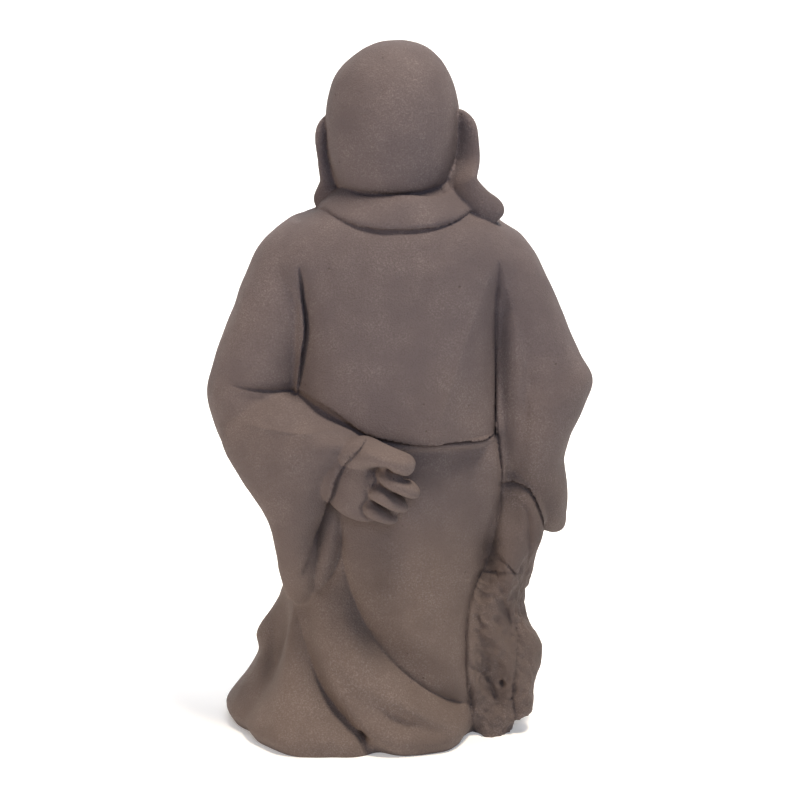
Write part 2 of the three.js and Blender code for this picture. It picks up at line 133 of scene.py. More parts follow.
@dataclass
class Skin:
    """A closed surface: its vertices, in parts, and its faces."""

    vertices: np.ndarray
    quads: np.ndarray
    triangles: np.ndarray = field(default_factory=lambda: np.zeros((0, 3), int))

    @classmethod
    def over(cls, grid: np.ndarray) -> Skin:
        """Closes a grid of rings into a skin, each end on the middle of its ring.

        Args:
            grid: Points as (rings, sides, 3).

        Returns:
            The closed skin.
        """
        rings, sides, _ = grid.shape
        ends = np.stack([grid[0].mean(axis=0), grid[-1].mean(axis=0)])
        start, end = rings * sides, rings * sides + 1
        side = np.arange(sides)
        following = (side + 1) % sides
        low = np.arange(rings - 1)[:, None] * sides
        quads = np.stack([low + side, low + following, low + sides + following, low + sides + side], axis=-1)
        top = (rings - 1) * sides
        triangles = np.concatenate([
            np.column_stack([np.full(sides, start), following, side]),
            np.column_stack([np.full(sides, end), top + side, top + following]),
        ])
        return cls(np.concatenate([grid.reshape(-1, 3), ends]), quads.reshape(-1, 4), triangles)

    def turned(self, degrees: float, shift: Sequence[float]) -> Skin:
        """Turns the skin about Z and then moves it."""
        c, s = math.cos(math.radians(degrees)), math.sin(math.radians(degrees))
        turn = np.array([[c, -s, 0], [s, c, 0], [0, 0, 1]])
        return Skin(self.vertices @ turn.T + np.asarray(shift), self.quads, self.triangles)

    def planed(self, point: Sequence[float], normal: Sequence[float], rounding: float) -> Skin:
        """Planes off what stands out of a plane.

        A height h over the plane becomes -r * log(1 + exp(-h / r)), which is h far below and 0 far above.

        Args:
            point: A point of the plane.
            normal: The way that the plane faces.
            rounding: How round the edge is left, r.

        Returns:
            The planed skin.
        """
        facing = unit(np.asarray(normal, float))
        height = (self.vertices - np.asarray(point)) @ facing
        planed = -rounding * np.logaddexp(0, -height / rounding)
        return Skin(self.vertices + (planed - height)[:, None] * facing, self.quads, self.triangles)


def stack(sections: Rows, power: float = 2.2, swell: Swell | None = None, sides: int = 180,
          rings: int = 150) -> Skin:
    """Stacks a form upwards from level sections.

    Each section is a superellipse, |across / width|^p + |back / depth|^p = 1, worked out around its middle.

    Args:
        sections: Rows of height, middle x, middle y, half width, half depth and, if turned, degrees.
        power: The superellipse's power, 2 for an ellipse and more for a squarer section.
        swell: What carving adds to the radius at angles, in degrees from +X, and heights.
        sides: Points around each section.
        rings: Sections worked out along the height.

    Returns:
        The closed form.
    """
    heights = np.linspace(sections[0][0], sections[-1][0], rings)
    values = along(sections, heights)
    x, y, width, depth = (values[:, k, None] for k in range(4))
    turn = np.radians(values[:, 4, None]) if values.shape[1] > 4 else np.zeros((rings, 1))
    degrees = np.arange(sides)[None] * 360 / sides
    c, s = np.cos(np.radians(degrees)), np.sin(np.radians(degrees))
    reach = (np.abs(c) ** power + np.abs(s) ** power) ** (-1 / power)
    carved = swell(degrees, heights[:, None]) if swell else 0.0
    across, back = c * (reach * width + carved), s * (reach * depth + carved)
    grid = np.stack([
        x + across * np.cos(turn) - back * np.sin(turn),
        y + across * np.sin(turn) + back * np.cos(turn),
        np.broadcast_to(heights[:, None], across.shape),
    ], axis=-1)
    return Skin.over(grid)


def sweep(points: Rows, facing: Sequence[float] | Callable[[np.ndarray], np.ndarray], blunt: float = 6,
          power: float = 2, sides: int = 40, rings: int = 60) -> Skin:
    """Carries a superellipse, |across / width|^p + |out / thickness|^p = 1, along a path, its ends rounded.

    Args:
        points: Rows of x, y, z, half width and half thickness.
        facing: The way the thickness faces, or a function that gives it at points.
        blunt: The higher it is, the shorter the round ends are.
        power: The superellipse's power, 2 for an ellipse and more for a squarer section.
        sides: Points around the section.
        rings: Sections along the path.

    Returns:
        The closed form.
    """
    step, least_section = 0.01, 0.001
    path = stationed(points)
    t = (1 - np.cos(np.pi * np.linspace(0, 1, rings))) / 2
    values = along(path, t)
    ahead = unit(along(path, np.minimum(t + step, 1))[:, :3] - along(path, np.maximum(t - step, 0))[:, :3])
    middle = values[:, :3]
    faces = facing(middle) if callable(facing) else np.broadcast_to(facing, middle.shape)
    side = unit(np.cross(ahead, faces))
    face = np.cross(side, ahead)
    closing = np.sqrt(np.maximum(1 - np.abs(2 * t - 1) ** blunt, least_section))[:, None, None]
    angle = np.linspace(0, 2 * np.pi, sides, endpoint=False)[None, :, None]
    c, s = np.cos(angle), np.sin(angle)
    reach = (np.abs(c) ** power + np.abs(s) ** power) ** (-1 / power)
    grid = middle[:, None] + closing * reach * (
        side[:, None] * values[:, 3, None, None] * c + face[:, None] * values[:, 4, None, None] * s
    )
    return Skin.over(grid)


def ball(middle: Sequence[float], half: Sequence[float], sides: int = 60, rings: int = 40) -> Skin:
    """Makes a ball squashed to three half sizes, as a grid of turn and rise."""
    rise = np.linspace(-0.49, 0.49, rings)[:, None] * np.pi
    angle = np.linspace(0, 2 * np.pi, sides, endpoint=False)[None]
    grid = np.stack([
        middle[0] + half[0] * np.cos(rise) * np.cos(angle),
        middle[1] + half[1] * np.cos(rise) * np.sin(angle),
        np.broadcast_to(middle[2] + half[2] * np.sin(rise), (rings, sides)),
    ], axis=-1)
    return Skin.over(grid)


BACK = (0.0, 1.0, 0.0)
FRONT = (0.0, -1.0, 0.0)
AXIS_Y = 0.5
BAND_RISE = 4.5


def outward(points: np.ndarray, rise: np.ndarray | float = BAND_RISE) -> np.ndarray:
    """Gives the way that a band round the body faces: away from the body's axis, and upwards by a rise."""
    return np.stack([points[:, 0], points[:, 1] - AXIS_Y, np.broadcast_to(rise, len(points))], axis=-1)


def on_shoulders(points: np.ndarray) -> np.ndarray:
    """Gives the way that the collar faces.

    From the chest up it stands steeper at the nape and lies down flatter on the shoulders: with u rising
    from 0 at the chest to 1 at the shoulders, its rise is 4.5 + u * (0.95 * |x| - 1.5).

    Args:
        points: Points of the collar's middle line, in parts.

    Returns:
        The facing at each point.
    """
    chest, shoulders = 74, 77
    share = np.clip((points[:, 2] - chest) / (shoulders - chest), 0, 1)
    return outward(points, BAND_RISE + share * (0.95 * np.abs(points[:, 0]) - 1.5))


# Strokes


class Cut(Enum):
    """How a stroke's depth falls off with the distance from its line."""

    VALLEY = "rounded"
    CREASE = "pinched"
    EDGE = "one-sided"
    FACET = "one-sided and flat"


@dataclass(frozen=True)
class View:
    """A way of looking at the figure, in which strokes are drawn as across and height.

    Attributes:
        turn: How far what is looked at is turned about Z, in degrees.
        shift: How far it is moved along X.
        facing: 1 where it is looked at from behind, -1 from the front.
    """

    turn: float = 0.0
    shift: float = 0.0
    facing: float = 1.0

    def seen(self, vertices: np.ndarray) -> tuple[np.ndarray, np.ndarray, np.ndarray]:
        """Gives each vertex's place across, its height and how near it is to the viewer."""
        c, s = math.cos(math.radians(self.turn)), math.sin(math.radians(self.turn))
        x, y = vertices[:, 0] - self.shift, vertices[:, 1]
        return x * c + y * s, vertices[:, 2], self.facing * (y * c - x * s)

    def away(self) -> np.ndarray:
        """Gives the direction away from the viewer."""
        c, s = math.cos(math.radians(self.turn)), math.sin(math.radians(self.turn))
        return self.facing * np.array([s, -c, 0.0])


HEAD_TURN = -9.0
HEAD_SHIFT = 0.9
FROM_BACK = View()
FROM_FRONT = View(facing=-1.0)
FROM_LEFT = View(turn=-90.0)
FROM_RIGHT = View(turn=90.0)
OF_FACE = View(turn=HEAD_TURN, shift=HEAD_SHIFT, facing=-1.0)


@dataclass(frozen=True)
class Stroke:
    """One pull of a modelling tool.

    Attributes:
        line: Rows of across, height, depth and width, joined by a smooth curve. A depth below 0 raises.
        cut: How the depth falls off: exp(-(d / w)^2) in a valley, exp(-d / w) in a crease, and on one side
            alone exp(-d / w) at an edge and 1 - d / w in a facet.
        view: The way that it is drawn.
        drop: The side on which an edge or a facet drops, as across and height.
        near: The least nearness that it reaches.
        nearest: The greatest nearness that it reaches.
    """

    line: Rows
    cut: Cut = Cut.CREASE
    view: View = FROM_BACK
    drop: tuple[float, float] = (0.0, -1.0)
    near: float = 0.0
    nearest: float = 99.0

    def depth_at(self, vertices: np.ndarray) -> np.ndarray:
        """Works out how deep the stroke is at each vertex.

        Each vertex takes the depth and width of the nearest point of the line, and falls off with the
        distance from it.

        Args:
            vertices: The vertices, in parts.

        Returns:
            The depths, in parts.
        """
        widths_reached, points_to_row = 4, 8
        rows = np.asarray(self.line, float)
        across, height, near = self.view.seen(vertices)
        reach = widths_reached * rows[:, 3].max()
        found = np.flatnonzero(
            (across > rows[:, 0].min() - reach) & (across < rows[:, 0].max() + reach)
            & (height > rows[:, 1].min() - reach) & (height < rows[:, 1].max() + reach)
            & (near > self.near - 1) & (near < self.nearest + 1)
        )
        steps = np.linalg.norm(np.diff(rows[:, :2], axis=0), axis=1)
        places = np.concatenate([[0.0], np.cumsum(steps)])
        curve = along(np.column_stack([places, rows]), np.linspace(0, places[-1], points_to_row * len(rows)))
        start, way = curve[:-1, :2], np.diff(curve[:, :2], axis=0)
        points = np.column_stack([across[found], height[found]])[:, None]
        free = ((points - start) * way).sum(-1) / (way**2).sum(-1)
        share = np.clip(free, 0, 1)
        off = points - start - share[..., None] * way
        best = (off**2).sum(-1).argmin(axis=1)
        row = np.arange(len(found))
        share, off = share[row, best], off[row, best]
        distance = np.linalg.norm(off, axis=1)
        depth, width = (curve[best, k] + share * (curve[best + 1, k] - curve[best, k]) for k in (2, 3))
        if self.cut is Cut.FACET:
            fall = np.maximum(1 - distance / width, 0)
        else:
            fall = np.exp(-((distance / width) ** (2 if self.cut is Cut.VALLEY else 1)))
        if self.cut in (Cut.EDGE, Cut.FACET):
            past = (free[row, best] - share) * np.linalg.norm(way, axis=1)[best]
            ended = np.isin(best, (0, len(way) - 1))
            fall *= (off @ np.asarray(self.drop) > 0) * np.where(ended, np.exp(-(4 * past**2)), 1)
        near = near[found]
        reached = np.clip(near - self.near + 1, 0, 1) * np.clip(self.nearest + 1 - near, 0, 1)
        total = np.zeros(len(vertices))
        total[found] = depth * fall * reached
        return total


def unevenness(vertices: np.ndarray, finest: float, coarsest: float, seed: int) -> np.ndarray:
    """Gives a smooth random field of a spread of about 1, a sum of sine waves in random directions.

    Args:
        vertices: The vertices, in parts.
        finest: The shortest wave, in parts.
        coarsest: The longest wave, in parts.
        seed: The random numbers' seed.

    Returns:
        The field at the vertices.
    """
    random = np.random.default_rng(seed)
    waves = 28
    ways = unit(random.normal(size=(waves, 3)))
    lengths = np.geomspace(finest, coarsest, waves)[:, None]
    phases = random.uniform(0, 2 * np.pi, waves)
    return np.sin(vertices @ (2 * np.pi * ways / lengths).T + phases).sum(axis=1) * math.sqrt(2 / waves)


# Forms of the figure


@dataclass
class Robe:
    """The robe's skirt with its folds, the jacket, the yoke, the collar with its lapels, and the sash."""

    skirt_radius: float = 17.0
    skirt_sections: Rows = (
        (-1, 5, 2, 18.4, 16.8),
        (0, 5, 2, 19.3, 17.4),
        (2.3, 4.7, 2, 20.8, 17.9),
        (6, 4, 1.8, 19, 16.4),
        (12, 2.6, 1.2, 17, 14.8),
        (20, 1.8, 0.6, 15.4, 13.6),
        (30, 0.9, 0.2, 15.2, 13),
        (38, 0.2, 0.2, 15.4, 13),
        (45.6, 0, 0.2, 15.2, 12.8),
    )
    skirt_folds: Sequence[tuple[float, Rows]] = (
        (4.2, ((0, 149, -2.6), (4, 138, -2), (11, 110, -1.8), (19, 75, -1.5), (32, 56, 0))),
        (2, ((0, 97, -2.2), (3.7, 82, -1.8), (7, 70, -1.6), (13, 50, -1.2), (23, 40, 0))),
        (3, ((0, 128, 0.3), (4.7, 117, 0.8), (8.7, 92, 1.2), (14, 69, 1.1), (25, 48, 0))),
        (3.2, ((0, 62, 1.4), (7, 50, 1), (14, 40, 0.8), (20, 37, 0))),
        (3, ((0, 26, -1.2), (7, 27, -1.3), (13, 24, -1.5), (17, 21, -0.9), (21, 19, 0))),
        (3, ((0, -10, 0.6), (5, -6, 0.2), (9.6, -5, 0.2), (12.6, -4, 1.9), (18, -2, 0))),
        (2.8, ((0, 322, -1.3), (9, 316, -1.1), (18, 308, -0.5), (27, 302, 0))),
        (3, ((0, 300, 1.1), (9, 297, 0.9), (20, 290, 0.4), (27, 286, 0))),
        (2.6, ((0, 279, -1.6), (10, 276, -1.2), (20, 273, -0.6), (28, 271, 0))),
        (2.8, ((0, 258, 0.9), (9, 259, 0.8), (20, 262, 0.3), (27, 264, 0))),
        (2.8, ((0, 236, -1.3), (9, 240, -1.1), (18, 245, -0.5), (27, 250, 0))),
        (4, ((28, 150, 0), (36, 148, 1.8), (45.6, 147, 2.4))),
    )
    jacket_sections: Rows = (
        (43.6, -0.2, 0.4, 15.4, 13.4),
        (44.8, -0.2, 0.4, 16.4, 14.4),
        (47, 0, 0.4, 16.6, 14.6),
        (53, 0, 0.4, 16.2, 14),
        (60, 0.2, 0.4, 16.2, 13.2),
        (68, 0.3, 0.6, 16.8, 12),
        (72.5, 0.3, 0.8, 15.8, 10.6),
        (75, 0.2, 1, 13.4, 9.2),
        (77.5, 0.2, 1, 9.4, 7.6),
        (79, 0.2, 1, 7, 6.4),
    )
    yoke_sections: Rows = (
        (60, 0.3, 0.6, 17.4, 8.4),
        (65, 0.3, 0.7, 18.8, 10.2),
        (69, 0.4, 0.8, 18.9, 10.8),
        (72, 0.4, 0.9, 17.2, 10.3),
        (74.6, 0.3, 1, 14.4, 9.2),
        (76.4, 0.2, 1, 11, 7.8),
    )
    lapel: Rows = (
        (0.2, 9.6, 76.9, 2.4, 0.8),
        (5.8, 8.1, 77.1, 2.3, 0.8),
        (9.2, 4, 77.8, 2, 0.8),
        (10, -2.6, 76, 2.1, 1),
        (9.6, -7.4, 71.6, 2, 1.1),
        (10.4, -9.8, 65, 2, 1),
        (12.2, -10.8, 57, 2, 1.1),
        (13.6, -12.6, 49, 2, 1.2),
        (13, -13, 42, 2, 1.3),
        (9.4, -12.3, 35.6, 2, 1.3),
        (3, -13.4, 31.4, 1.8, 1.1),
    )
    sash_half: Rows = (
        (0, -13.8, 31.2, 1.5, 1.3),
        (7, -12.4, 32, 1.5, 1.2),
        (13, -8.4, 34, 1.4, 1),
        (16, -1.5, 36, 1.2, 0.8),
    )

    def fold_lift(self, degrees: np.ndarray, heights: np.ndarray) -> np.ndarray:
        """Adds up the folds: each lifts the skirt by lift * exp(-(away / half width)^2)."""
        total = np.zeros(np.broadcast(degrees, heights).shape)
        for half_width, line in self.skirt_folds:
            values = along(line, heights)
            turn = (degrees - values[..., 0] + 540) % 360 - 180
            away = np.radians(turn) * self.skirt_radius / half_width
            total += values[..., 1] * np.exp(-(away**2))
        return total

    def big_forms(self) -> list[Skin]:
        """Makes the skirt, the jacket, the yoke and the neck that the collar leans on."""
        return [
            stack(self.skirt_sections, swell=self.fold_lift, sides=300, rings=220),
            stack(self.jacket_sections, power=2.6),
            stack(self.yoke_sections, power=2.8),
            ball((0.4, 1.4, 75.8), (9.6, 8.6, 4.2)),
        ]

    def creases(self) -> list[Stroke]:
        """Draws the jacket's creases and hem, and the skirt's sharp folds."""
        return [
            Stroke(((14.1, 68.8, 0.4, 0.5), (13.9, 65, 1.4, 0.8), (13.5, 60.4, 1.8, 1), (14, 56, 1.5, 1.2),
                    (14.5, 52, 0.8, 1.2)), Cut.EDGE, drop=(-1, 0)),
            Stroke(((14.2, 68.8, 0.2, 1.6), (13.9, 65, 0.4, 2.6), (13.5, 60.4, 0.6, 3.6), (14, 56, 0.7, 4.2),
                    (14.5, 51, 0.5, 4.2)), Cut.FACET, drop=(-1, 0)),
            Stroke(((-14, 69.8, 0.2, 0.5), (-13.8, 64.9, 1.3, 2.2), (-13.7, 59.8, 2.2, 4),
                    (-13.8, 53.4, 2.9, 6.2), (-13.8, 48.8, 2.9, 7.6), (-13.8, 45.2, 2, 8)), Cut.FACET,
                   drop=(1, 0)),
            Stroke(((-14, 69.8, 0.2, 0.5), (-13.8, 64.9, 0.9, 1.6), (-13.7, 59.8, 1.5, 2.9),
                    (-13.8, 53.4, 2, 4.2), (-13.8, 47, 1.6, 5), (-14.4, 40, 0.3, 4)), Cut.FACET,
                   drop=(-1, 0)),
            Stroke(((-14, 69.4, 0.2, 0.3), (-13.8, 62, 0.9, 0.3), (-13.8, 52, 1.3, 0.35),
                    (-13.8, 45, 1.4, 0.35), (-14.6, 39.2, 1.3, 0.35), (-14.4, 33.4, 1.1, 0.35),
                    (-13.5, 28, 0.7, 0.35))),
            Stroke(((14, 51.2, 0.8, 0.7), (9.7, 49.6, 1.3, 0.7), (4.8, 46.4, 1.6, 0.7),
                    (-0.3, 45.1, 1.6, 0.7), (-4.8, 44.6, 1.5, 0.7), (-7.7, 44.9, 1.5, 0.7),
                    (-11.9, 44.6, 1.4, 0.7), (-13.7, 45, 1.2, 0.7)), Cut.EDGE, nearest=16),
            Stroke(((8.4, 30.6, 0.2, 0.6), (7.8, 25.4, 0.7, 0.8), (6.4, 20.8, 1, 0.9), (4.2, 16.4, 1.2, 1),
                    (1.2, 12.6, 1.5, 0.9), (-2.8, 9, 1.7, 0.8), (-6.4, 6.7, 1.5, 0.7),
                    (-9.8, 5.3, 0.8, 0.6))),
            Stroke(((8.6, 22, -0.1, 1.3), (6, 14.8, -0.6, 1.5), (1.8, 10.6, -0.6, 1.5), (-2.8, 7, -0.5, 1.3),
                    (-7.1, 4.6, -0.3, 1.1), (-9.6, 3.6, -0.1, 1)), Cut.VALLEY),
            Stroke(((3.6, 8.4, 0.2, 1.2), (0, 5.2, 0.7, 1.5), (-4.6, 3.4, 0.6, 1.2), (-8.2, 2.8, 0.1, 0.8)),
                   Cut.VALLEY),
            Stroke(((14.8, 18, 0.2, 0.7), (13.2, 13.4, 0.8, 0.9), (11.6, 9.3, 1.3, 0.9), (9, 5.9, 1.6, 0.8),
                    (6, 3.2, 1.3, 0.6), (4.6, 1.6, 0.4, 0.5))),
            Stroke(((12, 14.4, -0.2, 1.2), (9.8, 10, -0.5, 1.4), (7, 6.6, -0.4, 1.2)), Cut.VALLEY),
            Stroke(((18, 17, 0.1, 1), (18.2, 13.5, 0.9, 1.3), (18.6, 7.9, 0.9, 1.3), (19.4, 3, 0.3, 1.2)),
                   Cut.VALLEY),
            Stroke(((5.4, 2.9, 1.2, 0.45), (4.9, 2.4, 1.2, 0.45)), Cut.VALLEY, near=15),
            *[
                Stroke(((x, 29, 0.3, 0.5), (x + 0.35 * lean, 22, 1, 1), (x + lean, 9, 1.2, 1.4),
                        (x + 1.2 * lean, 1, 0.6, 1.4)), Cut.VALLEY, FROM_FRONT, near=4)
                for x, lean in ((-8.4, -3.2), (-4.4, -1.6), (-0.6, 1.4), (4.6, 3.4), (9.4, 6.4))
            ],
        ]

    def tail(self, x: float, y: float, z: float) -> Skin:
        """Makes one hanging end of the sash, down to the given point."""
        return sweep([
            (0.2 * x, -14.2, 30.6, 1.2, 0.9),
            (0.6 * x, y - 0.3, (z + 30.6) / 2, 1.5, 1),
            (x, y, z, 1.9, 1.1),
        ], FRONT)

    def bands(self) -> list[Skin]:
        """Makes the collar with its lapels, and the sash with its knot and ends."""
        return [
            sweep(both_sides(self.lapel), on_shoulders, blunt=40, power=3.2, sides=60, rings=360),
            sweep(both_sides(self.sash_half), outward, rings=180),
            ball((0.2, -15, 31.2), (2.1, 1.5, 1.8)),
            self.tail(2.8, -12.8, 20),
            self.tail(-2.6, -13, 23),
        ]


@dataclass
class Arms:
    """The right arm with its hanging sleeve, and the left arm and its long sleeve behind the back."""

    right_sections: Rows = (
        (27.9, -22.7, -1, 0.6, 1.2),
        (28.7, -22.6, -1, 1.8, 3.4),
        (31, -22, -1, 2.6, 6),
        (35, -20.8, -0.8, 3.9, 8),
        (39.5, -19.4, -0.4, 4.7, 9),
        (43.5, -19.3, 0, 5.9, 9.4),
        (48.5, -20.2, 0.2, 7.2, 9.2),
        (51.8, -20.8, 0.4, 7.2, 8.4),
        (55, -19.6, 0.6, 6.5, 7.8),
        (61, -17.5, 0.8, 6.1, 7.4),
        (68, -14.4, 0.8, 6, 7.4),
        (72, -11.8, 0.8, 5.9, 6.8),
        (74.6, -9.6, 0.8, 4.6, 5.6),
    )
    right_forearm: Rows = (
        (-20.6, 2, 48.6, 5.6, 4.6),
        (-19, -6.4, 46.6, 6, 4.4),
        (-15.2, -12.8, 46, 5.6, 3.6),
        (-12.2, -15.8, 46.4, 5.4, 3.2),
    )
    right_fold: Rows = (
        (-15, 4.4, 67, 1, 2.6),
        (-15.8, 5.6, 60, 2, 3.2),
        (-16.2, 6.2, 52, 2.4, 3.4),
        (-16.7, 6.4, 45, 2.7, 3.2),
        (-17.6, 5.6, 38.6, 2.8, 2.8),
    )
    left_sections: Rows = (
        (36, 17.6, 3.2, 3, 4.4),
        (39, 18, 3, 5.4, 6.6),
        (42, 18.9, 2.8, 6.5, 7.6),
        (45.5, 20, 2.4, 6.9, 8.2),
        (49.5, 20.8, 2, 7, 8.4),
        (54, 20.2, 1.6, 6.7, 8.4),
        (61, 18, 1.2, 6.3, 8),
        (68, 15.3, 0.9, 6.2, 7.4),
        (72, 13, 0.8, 6.2, 7),
        (74.8, 10.6, 0.8, 5, 5.8),
    )
    left_sleeve_sections: Rows = (
        (19.8, 14.2, 8.4, 0.9, 0.9, -20),
        (20.6, 14.1, 8.5, 2.1, 1.9, -20),
        (24, 14.2, 8.9, 2.9, 2.9, -22),
        (30.7, 14.9, 10.2, 3.2, 3.6, -24),
        (34.4, 15, 10.2, 4.6, 4.4, -25),
        (38, 15.8, 9.9, 6.8, 5, -26),
        (42, 16.1, 9.9, 9.2, 5.5, -28),
        (45, 15.6, 9.6, 11.2, 5.8, -30),
        (47.6, 15.4, 9, 11.4, 5.4, -30),
        (49.6, 15.8, 8.2, 10.2, 4.4, -30),
        (51, 16.4, 7, 8.2, 2.8, -30),
    )
    lining: Rows = (
        (9.7, 10.2, 37, 1.6, 2),
        (9.9, 10.3, 32, 1.8, 2),
        (10.3, 10.1, 28, 1.9, 2),
        (11.3, 9.6, 24.6, 2, 1.9),
        (13.6, 8.9, 22, 1.7, 1.6),
    )

    def big_forms(self) -> list[Skin]:
        """Makes both arms and both sleeves. The left sleeve lies flat on top, where the forearm fills it."""
        return [
            stack(self.right_sections),
            sweep(self.right_fold, BACK, sides=60),
            sweep(self.right_forearm, lambda at: at * [1, 1, 0] + [0, 0, 2], blunt=40, sides=80),
            stack(self.left_sections),
            stack(self.left_sleeve_sections, power=2.4).planed((14, 15.4, 47.6), (-0.2, 0.5, 1), 0.5),
        ]

    def creases(self) -> list[Stroke]:
        """Draws the sleeves' edges and the crease over the left forearm."""
        return [
            Stroke(((24, 52.2, 0.2, 0.4), (20, 51.6, 1, 0.45), (14.2, 50.5, 1.3, 0.5), (7.8, 47.6, 0.9, 0.45),
                    (5, 46.6, 0.3, 0.3)), near=4),
            Stroke(((23, 50.6, 0.2, 0.9), (18, 49.8, 0.6, 1), (12, 48.6, 0.6, 0.9), (7.4, 47.4, 0.2, 0.6)),
                   Cut.VALLEY, near=8),
            Stroke(((22, 47.2, -0.1, 0.5), (18.3, 47, -0.5, 0.6), (13.2, 46.9, -0.7, 0.6), (9, 47, -0.6, 0.5),
                    (5.4, 46.5, -0.1, 0.3)), near=8),
            Stroke(((4.5, 46.2, 0.4, 0.5), (5.9, 44.7, 0.6, 0.8), (7.3, 43, 0.8, 1), (8.6, 41, 1, 1.2),
                    (9.3, 38.9, 1.2, 1.2), (9.9, 36.7, 1.4, 1.2), (10.5, 35.1, 1.5, 1.3),
                    (11.2, 32.6, 1.5, 1.3), (12.1, 30.4, 1.4, 1.2), (12.9, 28, 1, 1.1),
                    (13.8, 25.4, 0.3, 0.9)), Cut.EDGE, drop=(-1, -0.1), near=4),
            Stroke(((8.5, 33.6, 0.2, 0.4), (8.3, 30.9, 0.6, 0.5), (8.5, 29, 0.7, 0.5), (8.9, 26.8, 0.7, 0.5),
                    (9.9, 24.3, 0.5, 0.5), (11.4, 22.2, 0.3, 0.4)), near=4),
            Stroke(((-12.6, 51.6, 0.3, 0.8), (-11.4, 49.6, 1.2, 1.2), (-10.9, 46.6, 1.4, 1.4),
                    (-11.3, 43.4, 1.2, 1.2), (-12.6, 41.6, 0.3, 0.8)), Cut.EDGE, FROM_FRONT,
                   drop=(1, 0), near=11),
            Stroke(((-19.6, 55, 0.1, 0.8), (-18.4, 52, 0.6, 0.9), (-16, 50.8, 0.4, 0.8), (-14, 51, 0.1, 0.6)),
                   Cut.CREASE, FROM_FRONT, near=7),
            *[
                Stroke(((side, 66, 0.1, 1), (side * 2.6, 58, 0.9, 1.5), (side * 0.6, 50, 1.1, 1.6),
                        (side * -2.6, 44, 0.1, 1)), Cut.VALLEY, view, near=8)
                for side, view in ((1, FROM_LEFT), (-1, FROM_RIGHT))
            ],
            Stroke(((-14.8, 37.3, 0.9, 0.9), (-16.5, 37.5, 1, 0.9), (-18.7, 36.5, 1, 0.8),
                    (-20.5, 32.8, 0.8, 0.7), (-21.1, 29.4, 0.4, 0.5)), Cut.EDGE, drop=(0.6, -0.8)),
        ]

    def linings(self) -> list[Skin]:
        """Makes the far wall of the left sleeve's mouth."""
        return [sweep(self.lining, BACK)]


